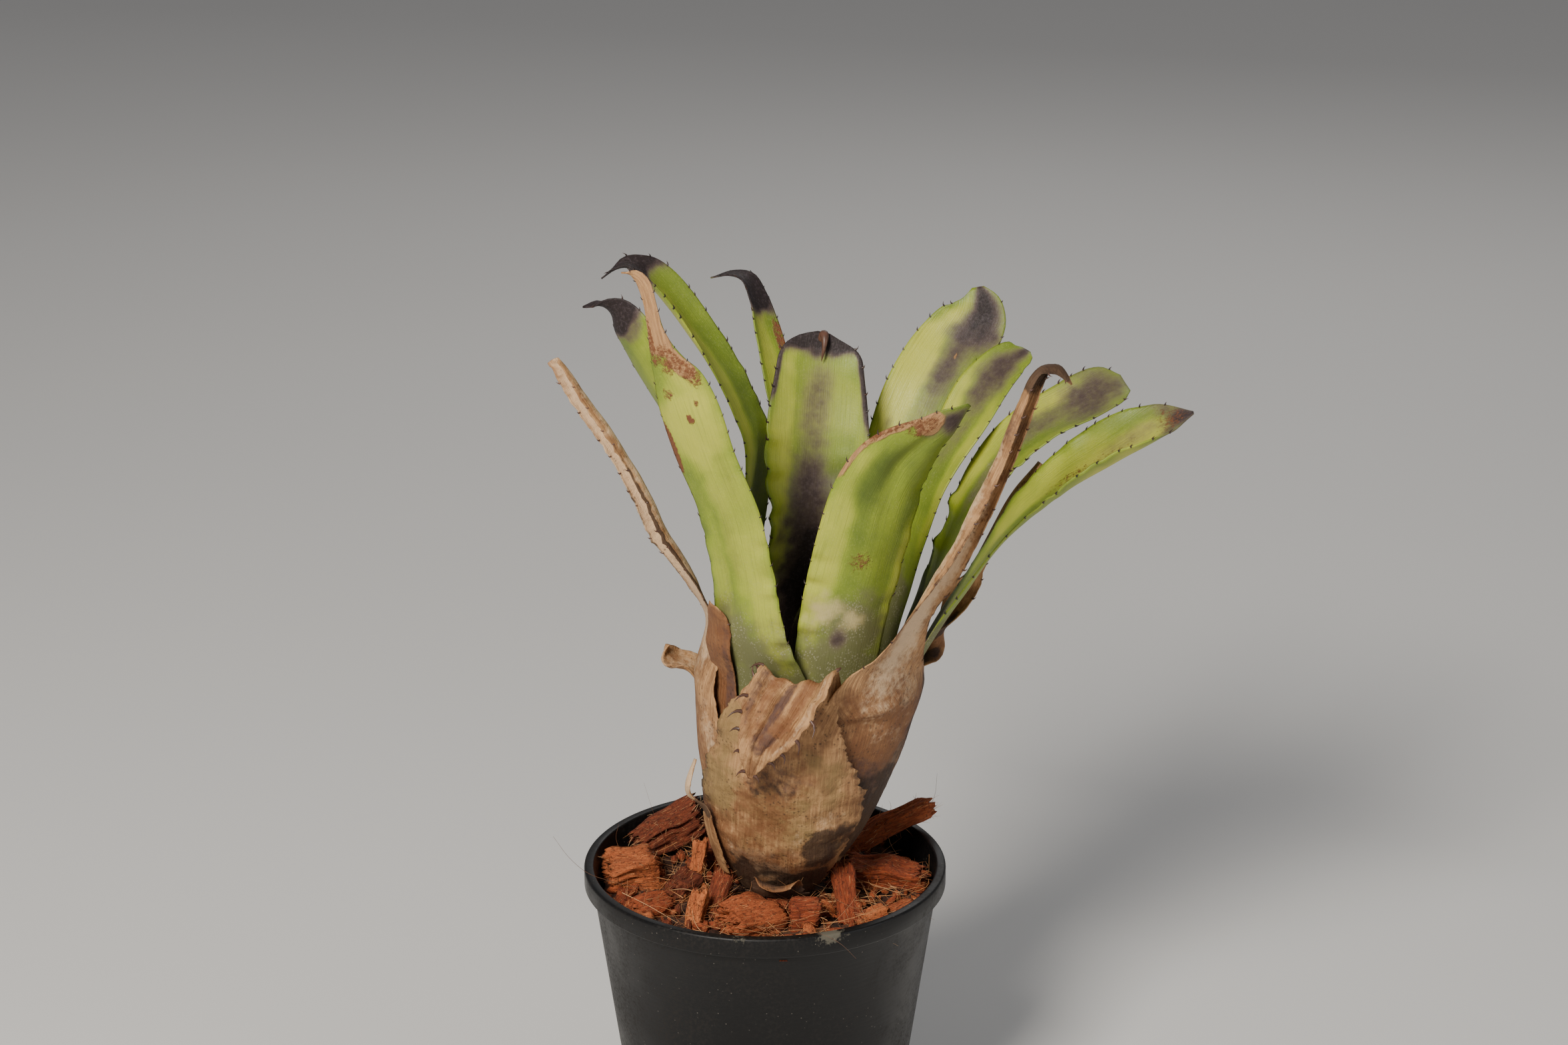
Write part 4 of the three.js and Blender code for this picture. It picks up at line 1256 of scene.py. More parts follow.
DEAD_LEAVES = (
    LeafShape(
        "dead_sheath_front", 0, 255, rise=3, neck=70, span=114, neck_width=41, face=(262, 252),
        bend=(1 / 26, -1 / 13), **DRY, rows=190, columns=44,
        blade=(
            (-1, 260.5, 83, 28), (1.2, 262.5, 88.5, 26), (5.5, 262, 90.5, 25), (10, 259.5, 86.5, 24),
            (13, 255.5, 78, 21), (13.5, 252, 70.5, 14), (11.5, 250, 62.5, 7.5), (9.5, 249, 56.5, 1.2),
        ),
        ripples=(Ripple(-1, -30, 10, 0.4, 12), Ripple(1, 22, 60, 1.3, 10), Ripple(-1, 14, 50, 0.8, 8)),
        dents=(
            Dent(-20, 0.35, 16, 0.5, -1.6), Dent(-42, 0.0, 18, 0.4, 0.5), Dent(-6, 0.8, 7, 0.25, -2.2),
            Dent(-46, 0.5, 13, 0.4, -1.5), Dent(-12, -0.4, 10, 0.3, 0.5), Dent(38, 0.95, 20, 0.3, 2.4),
            Dent(36, -0.1, 24, 0.15, -1.6), Dent(32, 0.45, 22, 0.15, -1.5), Dent(34, -0.55, 20, 0.13, -1.2),
        ),
        patches=(
            *marks(Tone.OLIVE, (-20, -0.75, 18, 0.5, 0.85), (-34, 0.15, 18, 0.6, 0.65),
                   (-4, -0.8, 14, 0.4, 0.7), (-16, 0.6, 16, 0.4, 0.6), **OUTSIDE),
            *marks(Tone.RUST, (-50, -0.55, 18, 0.6, 0.85), (-28, -0.15, 16, 0.5, 0.7),
                   (-44, -0.1, 14, 0.3, 0.6), (-60, 0.2, 16, 1.4, 0.95), (-14, 0.2, 10, 0.3, 0.5),
                   **OUTSIDE),
            *marks(Tone.STAIN, (-43, 0.62, 8, 0.36, 0.74), (-50, 0.75, 9, 0.3, 0.72),
                   (-72, 0.1, 16, 1.8, 1.0), (-22, -0.05, 7, 0.3, 0.5), side=Side.OUTER, soft=0.75,
                   warp=0.7),
            *marks(Tone.STAIN, (-30, -0.98, 34, 0.2, 0.55), (-24, 0.98, 24, 0.12, 0.5),
                   (-60, -0.9, 20, 0.3, 0.6), side=Side.OUTER, soft=0.9, warp=0.7),
            *marks(Tone.PURPLE, (-38, -0.82, 22, 0.25, 0.5), (-16, 0.0, 10, 0.4, 0.42), **OUTSIDE),
            *marks(Tone.GREY, (-56, 0.1, 12, 0.8, 0.5), **OUTSIDE),
            *marks(Tone.PALE, (-34, 0.62, 13, 0.2, 0.36), (-41, 0.28, 8, 0.12, 0.38),
                   (-48, -0.5, 8, 0.08, 0.4), **OUTSIDE),
            *marks(Tone.PURPLE, (36, -0.05, 17, 0.16, 0.72), (34, -0.78, 18, 0.14, 0.5),
                   (50, 0.1, 6, 0.5, 0.6), side=Side.INNER),
            *marks(Tone.RUST, (34, 0.35, 20, 0.2, 0.75), (30, -0.45, 20, 0.18, 0.65),
                   (44, 0.0, 12, 1.2, 0.55), side=Side.INNER),
            *marks(Tone.PALE, (36, 0.8, 20, 0.1, 0.42), (28, -0.6, 16, 0.1, 0.3), side=Side.INNER),
            *marks(Tone.STAIN, (0, 0.0, 16, 2.0, 0.7), side=Side.INNER),
        ),
        spine_length=3.0, spine_pitch=8, spines_from=14, rough_edge=0.07, wave=0.8, crumple=2.0,
    ),
    LeafShape(
        "dead_sheath_back", 0, 85, rise=3, neck=55, span=130, neck_width=62, face=(85, 85),
        bend=(1 / 40, 1 / 40), **DRY, rows=90, columns=44, blade=((-2, 85, 66, 40),),
        ripples=(Ripple(1, -30, 12, 1.0, 13), Ripple(-1, -30, 12, 0.8, 10)),
        patches=(
            *marks(Tone.RUST, (-30, 0.3, 20, 0.5, 0.7), (-20, -0.5, 16, 0.4, 0.6)),
            *marks(Tone.STAIN, (-52, 0.0, 12, 1.6, 0.6), (-30, -0.1, 10, 0.3, 0.6)),
            *marks(Tone.GREY, (-40, -0.2, 22, 0.9, 0.6)), *marks(Tone.OLIVE, (-8, 0.2, 16, 0.9, 0.6)),
        ),
        spine_length=1.6, spine_pitch=10, spines_from=-18, rough_edge=0.08, wave=0.8, crumple=1.6,
    ),
    LeafShape(
        "dead_leaf_right", 1, 318, rise=3, neck=72, span=122, neck_width=54, face=(318, 318),
        bend=(-1 / 3.3, -1 / 2.9), **DRY, rows=190, columns=40,
        blade=(
            (-1.2, 306, 84, 41), (0.4, 308.5, 94, 24), (4, 310.5, 107, 14), (8, 312.5, 118, 15),
            (12, 314.5, 130, 15.5), (16, 316, 143, 15.5), (20, 317.5, 156, 15), (23, 318.5, 167, 14),
            (26.5, 319.5, 182, 12), (28.5, 320, 189, 10.5), (30.5, 321.5, 192.5, 9), (34, 324, 192, 6),
            (38, 327, 186, 0.8),
        ),
        dents=(Dent(-20, -0.4, 16, 0.4, 1.2), Dent(-2, -0.55, 5, 0.5, 1.6), Dent(3, -0.2, 4, 0.4, -1.4)),
        patches=(
            *marks(Tone.RUST, (92, 0.0, 24, 0.4, 0.28), (-34, -0.3, 20, 0.4, 0.5), (-6, -0.6, 12, 0.4, 0.7)),
            *marks(Tone.STAIN, (-46, 0.2, 30, 1.1, 0.82), (-20, 0.75, 26, 0.4, 0.7),
                   (70, 0.97, 60, 0.07, 0.6), (70, -0.97, 60, 0.06, 0.6), (4, 0.1, 7, 0.3, 0.4), **BLOTCHY),
            *marks(Tone.STAIN, (134, 0.0, 12, 2.0, 0.8)),
            *marks(Tone.RUST, (-12, 0.1, 26, 1.1, 0.95), (10, -0.3, 12, 0.6, 0.6), **BLOTCHY),
            *marks(Tone.PURPLE, (-28, -0.15, 20, 0.5, 0.62), (-14, 0.55, 20, 0.3, 0.6), **BLOTCHY),
            *marks(Tone.PURPLE, (100, 0.3, 16, 0.2, 0.6), (112, 0.0, 8, 1.2, 0.5)),
            *marks(Tone.PALE, (60, 0.0, 66, 0.85, 0.86), soft=0.8),
            *marks(Tone.GREY, (-30, 0.4, 18, 0.5, 0.5)),
        ),
        spine_length=1.2, spine_pitch=10, spines_from=14, rough_edge=0.04, wave=0.5, crumple=0.7,
    ),
    LeafShape(
        "dead_leaf_left", 1, 190, rise=3, neck=78, span=112, neck_width=30, face=(228, 228),
        bend=(-1 / 2.6, -1 / 3.2), **DRY, rows=180, columns=34,
        blade=(
            (-4, 193, 95, 20), (3, 193.5, 110, 15), (9, 193, 120, 13.5), (15.5, 192, 129, 12.5),
            (22, 192, 140, 11), (29.5, 191.5, 152, 10), (39.5, 191, 166, 10.5), (48, 190.5, 177, 10),
            (53, 190, 184, 9), (55.5, 190, 187, 8),
        ),
        dents=(Dent(-18, 0.5, 14, 0.4, -1.2),),
        patches=(
            *marks(Tone.STAIN, (55, -0.96, 34, 0.1, 0.5), (55, 0.95, 34, 0.16, 0.8), (-54, 0, 14, 1.5, 0.5)),
            *marks(Tone.PALE, (66, -0.2, 74, 1.2, 0.92), (-20, 0.6, 24, 0.3, 0.45), soft=0.8),
            *marks(Tone.RUST, (-30, 0.0, 24, 0.6, 0.6), (108, 0.2, 7, 1.0, 0.5)),
        ),
        spine_length=1.0, spine_pitch=9, spines_from=10, rough_edge=0.1, wave=0.6, crumple=0.4,
    ),
    LeafShape(
        "dead_leaf_right_back", 2, 12, rise=3, neck=76, span=95, neck_width=12, face=(330, 330),
        bend=(-1 / 4, -1 / 3), **DRY, rows=150, columns=28,
        blade=(
            (1, 12, 81, 11), (5, 13.5, 89, 10), (9.5, 14.5, 102, 10), (13, 15.5, 111, 9.5),
            (18, 16.5, 123, 9), (23, 17, 132, 9), (29.5, 17, 141, 6),
        ),
        patches=(
            *marks(Tone.RUST, (10, 0.0, 26, 1.0, 0.7), (-30, 0, 20, 0.5, 0.5)),
            *marks(Tone.STAIN, (16, 0.5, 9, 0.6, 0.7), (4, -0.4, 6, 0.5, 0.7), (-50, 0, 20, 1.5, 0.6)),
        ),
        spine_length=1.0, rough_edge=0.08, wave=0.5,
    ),
    LeafShape(
        "dead_sheath_left", 2.6, 214, rise=3, neck=82, span=56, neck_width=13, face=(214, 214),
        bend=(1 / 12, 1 / 5), **DRY, rows=110, columns=26,
        blade=((2.0, 218, 94, 13), (4.0, 219, 101, 13), (7.0, 221, 107, 11), (9.0, 222, 111, 4)),
        patches=(
            *marks(Tone.RUST, (-10, 0.0, 26, 1.5, 0.9), (14, 0, 18, 1.8, 0.95)),
            *marks(Tone.PURPLE, (-6, 0.7, 30, 0.35, 0.6)), *marks(Tone.STAIN, (-60, 0, 20, 1.5, 0.6)),
        ),
        spine_length=0.9, rough_edge=0.06, wave=0.5,
    ),
    LeafShape(
        "dead_leaf_stub", 2.15, 148, rise=3, neck=62, span=80, neck_width=14, face=(160, 165),
        bend=(1 / 6, 1 / 4), **DRY, rows=100, columns=26,
        blade=((1, 163, 72.5, 12), (6, 168, 75, 13), (9, 172, 76.5, 12.5), (10, 173, 77.5, 12)),
        patches=(*marks(Tone.PALE, (20, 0, 14, 1.5, 0.4)), *marks(Tone.STAIN, (-40, 0, 20, 1.5, 0.6))),
        spine_length=0.0, rough_edge=0.08, wave=0.4,
    ),
    LeafShape(
        "basal_strip_left", -2.1, 212, rise=10, neck=34, span=14, neck_width=5, face=(200, 190),
        bend=(1 / 8, 1 / 5), **DRY, rows=60, columns=12, blade=((-3, 190, 37, 5), (-5, 184, 46, 3)),
        patches=(*marks(Tone.PALE, (14, 0, 12, 1.5, 0.85)), *marks(Tone.STAIN, (2, 0.3, 5, 1.0, 0.8))),
        spine_length=0.0, rough_edge=0.12, wave=0.6,
    ),
    LeafShape(
        "basal_scale_front", -2.2, 264, rise=4.2, neck=6.2, span=62, neck_width=17, face=(262, 262),
        bend=(1 / 13, 1 / 10), thickness=0.7, edge=0.3, rows=44, columns=30,
        blade=((-17.6, 264, 8.4, 17), (-15.6, 265, 9.6, 14), (-13.6, 266, 8.8, 9)),
        ripples=(Ripple(1, 0, 14, 0.7, 5), Ripple(-1, 0, 14, 0.6, 6)),
        patches=(
            *marks(Tone.RUST, (4, 0, 9, 1.4, 0.9)), *marks(Tone.STAIN, (-2, 0, 9, 1.6, 0.85)),
            *marks(Tone.PALE, (9, 0.3, 2, 0.5, 0.3)),
        ),
        spine_length=0.0, rough_edge=0.16, wave=0.5, replaces=False,
    ),
    LeafShape(
        "sheath_tear", -0.7, 246, rise=57, neck=64, span=9, neck_width=6, face=(246, 246),
        bend=(1 / 12, -1 / 6), thickness=0.6, edge=0.3, rows=40, columns=12,
        blade=((1.5, 245, 70, 5), (3.5, 244, 76, 1.5)), patches=(*marks(Tone.PALE, (4, 0, 12, 1.5, 0.95)),),
        spine_length=0.0, rough_edge=0.16, wave=0.5, replaces=False,
    ),
)


# ------------------------------------------------------------------------------------------ pot
@dataclass(frozen=True)
class Pot:
    """The round tapered nursery pot."""

    height: float
    rim_radius: float
    base_radius: float = 43.0
    wall: float = 1.4
    floor: float = 2.2
    lip_height: float = 7.0
    lip_out: float = 1.8
    drain_holes: int = 12
    drain_radius: float = 2.0
    drain_circle: float = 33.0
    base_round: float = 1.5
    lip_round: float = 0.9
    bead_round: float = 0.6
    steps: int = 160

    def outer(self, z: float) -> float:
        """Radius of the outside wall."""
        return ramp_between(z / self.height, self.base_radius, self.rim_radius - self.lip_out)

    def inner(self, z: float) -> float:
        """Radius of the inside wall."""
        return self.outer(z) - self.wall

    def _profile(self) -> list[tuple[float, float]]:
        """Half section from the base's middle, up the outside, over the lip and down inside."""
        lip = self.height - self.lip_height
        low, round_lip, bead_in = self.base_round, self.lip_round, self.bead_round
        corner = [(self.base_radius - low + low * math.sin(a), low - low * math.cos(a))
                  for a in np.linspace(0, math.pi / 2, 5)]
        rolled = [(self.rim_radius - round_lip + round_lip * math.sin(a),
                   self.height - round_lip + round_lip * math.cos(a))
                  for a in np.linspace(math.pi / 2, 0, 6)]
        inside = self.inner(self.height)
        bead = [(inside + bead_in - bead_in * math.sin(a), self.height - bead_in + bead_in * math.cos(a))
                for a in np.linspace(0, math.pi / 2, 5)]
        return [(0, 0), (20, 0), (38, 0), *corner, (self.outer(30), 30), (self.outer(60), 60),
                (self.outer(lip - 0.6), lip - 0.6), (self.outer(lip) + 0.3, lip),
                (self.rim_radius - 0.5, lip + 0.3),
                (self.rim_radius, lip + 0.9), *rolled, *bead, (self.inner(60), 60), (self.inner(20), 20),
                (self.inner(self.floor + 1), self.floor + 1), (self.inner(self.floor) - 1, self.floor),
                (20, self.floor), (0, self.floor)]

    def build(self, finish: bpy.types.Material) -> bpy.types.Object:
        """Spins the pot, drills it and marks the lime on its rim."""
        bm = bmesh.new()
        made = [bm.verts.new((r * MM, 0, z * MM)) for r, z in self._profile()]
        edges = [bm.edges.new(pair) for pair in zip(made, made[1:])]
        bmesh.ops.spin(bm, geom=[*made, *edges], cent=(0, 0, 0), axis=(0, 0, 1), angle=2 * math.pi,
                       steps=self.steps, use_merge=True)
        bmesh.ops.remove_doubles(bm, verts=bm.verts, dist=0.02 * MM)
        bmesh.ops.recalc_face_normals(bm, faces=bm.faces)
        piece = object_from(bm, "nursery_pot", finish)
        self._drill(piece)
        flat = np.zeros(len(piece.data.vertices) * 3)
        piece.data.vertices.foreach_get("co", flat)
        points = flat.reshape(-1, 3) / MM
        azimuth = np.degrees(np.arctan2(points[:, 1], points[:, 0])) % 360
        top = smoothstep(points[:, 2], self.height - 3, self.height - 0.5)
        lime = top * (0.85 * np.exp(-((azimuth - 291) / 5) ** 2) + 0.5 * np.exp(-((azimuth - 262) / 3) ** 2))
        set_attribute(piece, "lime", np.clip(lime, 0, 1))
        piece.data.set_sharp_from_angle(angle=math.radians(40))
        return publish(piece, ["pot"])

    def _drill(self, piece: bpy.types.Object) -> None:
        """Cuts the ring of drain holes."""
        bm = bmesh.new()
        for hole in range(self.drain_holes):
            turn = 2 * math.pi * hole / self.drain_holes
            across, ahead = self.drain_circle * math.cos(turn), self.drain_circle * math.sin(turn)
            at = Matrix.Translation(Vector((across, ahead, 0)) * MM)
            bmesh.ops.create_cone(bm, cap_ends=True, segments=24, radius1=self.drain_radius * MM,
                                  radius2=self.drain_radius * MM, depth=4 * self.floor * MM, matrix=at)
        drill = object_from(bm, "drill")
        cut = piece.modifiers.new("drain", "BOOLEAN")
        cut.object = drill
        cut.solver = "EXACT"
        graph = bpy.context.evaluated_depsgraph_get()
        drilled = bpy.data.meshes.new_from_object(piece.evaluated_get(graph))
        piece.modifiers.clear()
        old = piece.data
        piece.data = drilled
        drilled.name = piece.name
        bpy.data.meshes.remove(old)
        bpy.data.objects.remove(drill)


# ------------------------------------------------------------------------------------------ husk chips
@dataclass(frozen=True)
class Chip:
    """A loose chip: its place in the bed, size, turn, and how orange it is."""

    at: tuple[float, float, float]  # share from trunk to wall, azimuth, height
    size: tuple[float, float, float]
    turn: tuple[float, float, float]  # about +Z, tipped along its length, rolled
    tone: float = 0.5


CHIPS = (
    Chip((0.76, 142, 6), (24, 10, 9), (22, -22, 0), 0.12),
    Chip((0.77, 172, 1), (18, 15, 12), (10, 0, 0), 0.78),
    Chip((0.67, 200, -2), (14, 10, 7), (40, 0, 10), 0.55),
    Chip((0.50, 221, 1), (14, 6, 5), (70, -65, 0), 1.0),
    Chip((0.38, 250, 0), (18, 16, 9), (38, 8, 14), 0.66),
    Chip((0.34, 286, 0), (9, 7, 12), (5, 0, 8), 0.42),
    Chip((0.36, 321, 3), (21, 7, 6), (102, -50, 0), 0.40),
    Chip((0.59, 7, 1), (27, 11, 9), (-8, 0, 0), 0.45),
    Chip((0.78, 36, 9), (34, 8, 6), (10, -24, 0), 0.62),
    Chip((0.69, 321, -2), (9, 8, 8), (20, 0, 0), 0.92),
    Chip((0.79, 335, -2), (10, 8, 6), (35, 0, 0), 0.68),
    Chip((0.80, 63, -1), (12, 10, 9), (30, 0, 0), 0.30),
    Chip((0.35, 162, 5), (11, 5, 4), (80, -60, 0), 0.85),
    Chip((0.42, 182, -1), (12, 9, 9), (60, 0, 20), 0.10),
    Chip((0.26, 216, 2), (18, 6, 6), (60, -50, 0), 0.22),
    Chip((0.12, 266, -1), (9, 4, 8), (-20, 0, 0), 0.30),
    Chip((0.81, 224, -3), (19, 5, 4), (-32, 0, 0), 0.35),
    Chip((0.69, 271, -3), (9, 6, 5), (15, 0, 0), 0.40),
    Chip((0.72, 295, -3), (8, 6, 6), (-10, 0, 0), 0.30),
    Chip((0.23, 309, -3), (8, 5, 5), (30, 0, 0), 0.35),
    Chip((0.83, 308, -4), (8, 5, 4), (28, 0, 0), 0.88),
    Chip((0.49, 92, -1), (18, 11, 8), (-12, 0, 0), 0.45),
    Chip((0.80, 116, -1), (15, 12, 9), (50, 0, 0), 0.60),
    Chip((0.86, 87, -2), (14, 7, 7), (-10, 0, 0), 0.50),
    Chip((0.44, 134, -1), (14, 8, 8), (-40, 0, 0), 0.25),
    Chip((0.84, 190, -3), (11, 6, 6), (75, 0, 0), 0.35),
)


@dataclass(frozen=True)
class LooseHair:
    """One long fibre through points given in the pot's own frame."""

    stops: tuple[tuple[float, float, float], ...]
    radius: float = 0.10
    tone: float = 0.3


LOOSE_HAIRS = (
    LooseHair(((-38, -8, 98), (-50, -12, 103), (-58, -14, 107), (-64, -15, 113), (-69, -16, 121)), tone=0.35),
    LooseHair(((2, -46, 100), (10, -53, 104), (17, -58, 106.5), (24, -62.5, 105), (29, -65, 101)), tone=0.1),
    LooseHair(((-34, 22, 102), (-38, 25, 112), (-41, 26, 122)), radius=0.07, tone=0.1),
    LooseHair(((-47, 12, 100), (-50, 13, 107), (-49, 12, 113)), radius=0.08, tone=0.1),
    LooseHair(((52, 26, 108), (57, 27, 116), (58, 27, 125)), radius=0.08, tone=0.2),
    LooseHair(((28, 34, 100), (34, 36, 110), (40, 37, 117)), radius=0.07, tone=0.1),
    LooseHair(((20, -43, 99), (30, -42, 99.5), (42, -38, 99)), radius=0.13, tone=0.9),
    LooseHair(((-47, -12, 99), (-38, -22, 99), (-28, -33, 98)), radius=0.15, tone=0.95),
    LooseHair(((-20, -16, 100), (-26, -20, 104), (-31, -25, 106)), radius=0.25, tone=0.85),
)


@dataclass
class HuskBed:
    """Everything that fills the pot round the plant: chips, litter, crumbs and loose fibres."""

    pot: Pot
    trunk: Trunk
    settled: float
    cuts: int = 15
    litter_start: float = 9.6
    litter_level: float = -3.2
    litter_depth: float = 0.6
    wall_gap: float = 2.0
    crumbs: int = 420
    hairs: int = 520
    paths: list[tuple[Points, Points]] = field(default_factory=list)
    tones: list[float] = field(default_factory=list)

    def wall_from_foot(self, azimuth: Points | float) -> Points | float:
        """Distance from the trunk's foot to the pot's wall."""
        offset = self.trunk.foot_x * np.cos(np.radians(azimuth))
        return np.sqrt(self.pot.inner(self.trunk.soil) ** 2 - self.trunk.foot_x**2 + offset**2) - offset

    def point(self, share: float, azimuth: float, height: float) -> Points:
        """A place in the bed, from the trunk's foot at 0 to the wall at 1."""
        reach = ramp_between(share, self.trunk.foot_radius, self.wall_from_foot(azimuth))
        return self.trunk.polar(reach, azimuth, 0) + np.array([0.0, 0.0, height])

    def chip(self, chip: Chip, number: int, finish: bpy.types.Material) -> bpy.types.Object:
        """A block of husk with split, fibrous faces and frayed ends.

        Args:
            chip: Its place, size and tone.
            number: Its place in the list.
            finish: Its material.

        Returns:
            The object.
        """
        bm = bmesh.new()
        bmesh.ops.create_cube(bm, size=1.0)
        bmesh.ops.subdivide_edges(bm, edges=bm.edges, cuts=self.cuts, use_grid_fill=True)
        size = np.array(chip.size, float)
        least = float(size.min())
        share = coordinates(bm.verts) * 2
        blunt = (np.abs(share) ** 7).sum(axis=1) ** (-1 / 7)
        local = share * (0.3 + 0.7 * blunt)[:, None] * size / 2
        seed = 11.0 + number
        warp = np.stack([noise_at(local, 0.09, seed + k) for k in (0.0, 31.0, 57.0)], axis=-1)
        stretched = local * np.array([0.12, 1.0, 1.0])
        ridges = noise_at(stretched, 0.85, seed) + 0.5 * noise_at(stretched, 2.1, seed + 5)
        out = unit(np.sign(share) * np.abs(share) ** 9)
        ends = np.abs(out[:, 0])
        fray = noise_at(local * np.array([0.3, 1.0, 1.0]), 1.1, seed + 9)
        local = local + warp * least * 0.30
        local = local + out * (ridges * 0.115 * least * (1 - ends))[:, None]
        local[:, 0] += out[:, 0] * (fray - 0.15) * ends * min(0.55 * least, 0.22 * size[0])
        yaw, pitch, roll = (math.radians(a) for a in chip.turn)
        turn = np.array(Euler((roll, pitch, yaw), "XYZ").to_matrix())
        place(bm.verts, self._inside_wall(local @ turn.T + self.point(*chip.at)) * MM)
        bmesh.ops.recalc_face_normals(bm, faces=bm.faces)
        piece = object_from(bm, f"husk_chip_{number:02d}", finish)
        set_attribute(piece, "grain", local * 0.1 + seed)
        set_attribute(piece, "tone", np.full(len(local), chip.tone))
        self._fuzz(local, out, size, turn, self.point(*chip.at), chip.tone, number)
        return publish(piece, [f"coco_chip_{number:02d}"])

    def _inside_wall(self, points: Points) -> Points:
        """Draws in what would pass through the pot's wall below its rim."""
        limit = np.where(points[:, 2] < self.pot.height + 1, self.pot.inner(points[:, 2]) - 0.4, np.inf)
        away = np.hypot(points[:, 0], points[:, 1])
        share = np.minimum(1, limit / np.maximum(away, 1e-6))
        return points * np.stack([share, share, 0 * share + 1], axis=-1)

    def _fuzz(self, local: Points, out: Points, size: Points, turn: Points, at: Points, tone: float,
              number: int) -> None:
        """Adds the fine fibres that stand out of a chip, most of them at its ends."""
        rng = scatter(500 + number)
        for _ in range(int(22 + size.max() * 1.6)):
            index = int(rng.integers(len(local)))
            start, lean = local[index], out[index]
            grow = unit(lean + np.array([np.sign(start[0]) * 0.9, *rng.normal(0, 0.5, 2)]))
            length = rng.uniform(1.0, 5.0)
            curl = rng.normal(0, 0.35, 3)
            share = np.linspace(0, 1, 4)[:, None]
            path = start - lean * 0.3 + length * share * (grow + curl * share)
            self.paths.append((path @ turn.T + at, np.array([0.07, 0.06, 0.045, 0.015])))
            self.tones.append(float(np.clip(tone + rng.uniform(-0.1, 0.35), 0, 1)))

    def litter(self, finish: bpy.types.Material) -> bpy.types.Object:
        """The lumpy layer of fine husk on the settled chips, a ring round the plant."""
        turns, rings = 180, 30
        azimuth = np.linspace(0, 360, turns)[:, None]
        share = np.linspace(0, 1, rings)[None, :]
        wall = self.wall_from_foot(azimuth) - self.wall_gap
        reach = ramp_between(share, self.litter_start, wall)
        flat = self.trunk.polar(reach, azimuth + 0 * share, self.litter_level + 0 * reach)
        flat[..., :2] -= self.trunk.axis(self.litter_level)[:2] - np.array([self.trunk.foot_x, 0.0])
        lumps = noise_at(flat, 0.16, 3.0) * 1.7 + noise_at(flat, 0.5, 8.0) * 0.9
        top = flat + np.stack([0 * lumps, 0 * lumps, lumps + 0.6 - 1.4 * (1 - share) + 0 * reach], axis=-1)
        bottom = flat.copy()
        bottom[..., 2] = self.settled - self.litter_level - self.litter_depth
        bm = bmesh.new()
        for surface in (bottom, top):
            surface[-1] = surface[0]
            lay_skin(bm, surface)
        bmesh.ops.remove_doubles(bm, verts=bm.verts, dist=0.01 * MM)
        border = [edge for edge in bm.edges if edge.is_boundary]
        inner = [e for e in border if self._near_foot(e)]
        outer = [e for e in border if not self._near_foot(e)]
        bmesh.ops.bridge_loops(bm, edges=inner)
        bmesh.ops.bridge_loops(bm, edges=outer)
        bmesh.ops.recalc_face_normals(bm, faces=bm.faces)
        return publish(object_from(bm, "coco_litter", finish))

    def _near_foot(self, edge: bmesh.types.BMEdge) -> bool:
        """Whether an edge lies round the plant and not along the wall."""
        middle = (edge.verts[0].co + edge.verts[1].co) / 2 / MM
        return math.hypot(middle.x - self.trunk.foot_x, middle.y) < 2 * self.trunk.foot_radius

    def scatter_crumbs(self, finish: bpy.types.Material) -> bpy.types.Object:
        """Small broken bits of husk between the chips."""
        rng = scatter(77)
        bm = bmesh.new()
        grain, tone = [], []
        for _ in range(self.crumbs):
            share, azimuth = rng.uniform(0.02, 0.95) ** 0.8, rng.uniform(0, 360)
            size = rng.uniform(0.7, 2.3) * (1.0 if rng.random() > 0.12 else 1.6)
            at = self.point(share, azimuth, -2.6 + 0.25 * size + rng.uniform(-0.3, 1.4))
            made = bmesh.ops.create_icosphere(bm, subdivisions=1, radius=1.0)["verts"]
            stretch = np.array([rng.uniform(1.0, 2.2), rng.uniform(0.6, 1.0), rng.uniform(0.5, 0.9)]) * size
            turn = np.array(Euler(rng.uniform(-math.pi, math.pi, 3)).to_matrix())
            for vertex in made:
                local = np.array(vertex.co) * stretch * rng.uniform(0.72, 1.2)
                grain.append(local * 0.1 + azimuth)
                vertex.co = (local @ turn.T + at) * MM
            tone.extend([rng.uniform(0.1, 0.85)] * len(made))
        piece = object_from(bm, "husk_crumbs", finish)
        set_attribute(piece, "grain", np.array(grain))
        set_attribute(piece, "tone", np.array(tone))
        return publish(piece)

    def coir(self, finish: bpy.types.Material) -> bpy.types.Object:
        """All the loose fibres, as one piece."""
        rng = scatter(4242)
        for _ in range(self.hairs):
            share, azimuth = rng.uniform(0.05, 0.92), rng.uniform(0, 360)
            start = self.point(share, azimuth, rng.uniform(-2.5, 1.5))
            heading = rng.uniform(0, 2 * math.pi)
            length = rng.uniform(5, 20)
            step = np.array([math.cos(heading), math.sin(heading), rng.uniform(-0.05, 0.35)])
            sway = rng.normal(0, 0.22, 3) * np.array([1, 1, 0.5])
            share_along = np.linspace(0, 1, 6)[:, None]
            path = start + length * share_along * (step + sway * share_along * 2)
            limit = self.pot.inner(self.trunk.soil) - 1.2
            away = np.hypot(path[:, 0], path[:, 1])
            path[:, :2] *= np.minimum(1, limit / np.maximum(away, 1e-6))[:, None]
            path[:, 2] = np.maximum(path[:, 2], self.settled + 2.5)
            self.paths.append((path, np.full(6, 0.06 + 0.13 * rng.random() ** 2) * np.linspace(1, 0.4, 6)))
            self.tones.append(float(rng.uniform(0.15, 1.0)))
        for hair in LOOSE_HAIRS:
            line, _ = through(np.array(hair.stops, float), 7)
            self.paths.append((line, np.linspace(1.0, 0.35, len(line)) * hair.radius))
            self.tones.append(hair.tone)
        return publish(strands("coir_fibres", self.paths, 4, finish, self.tones))


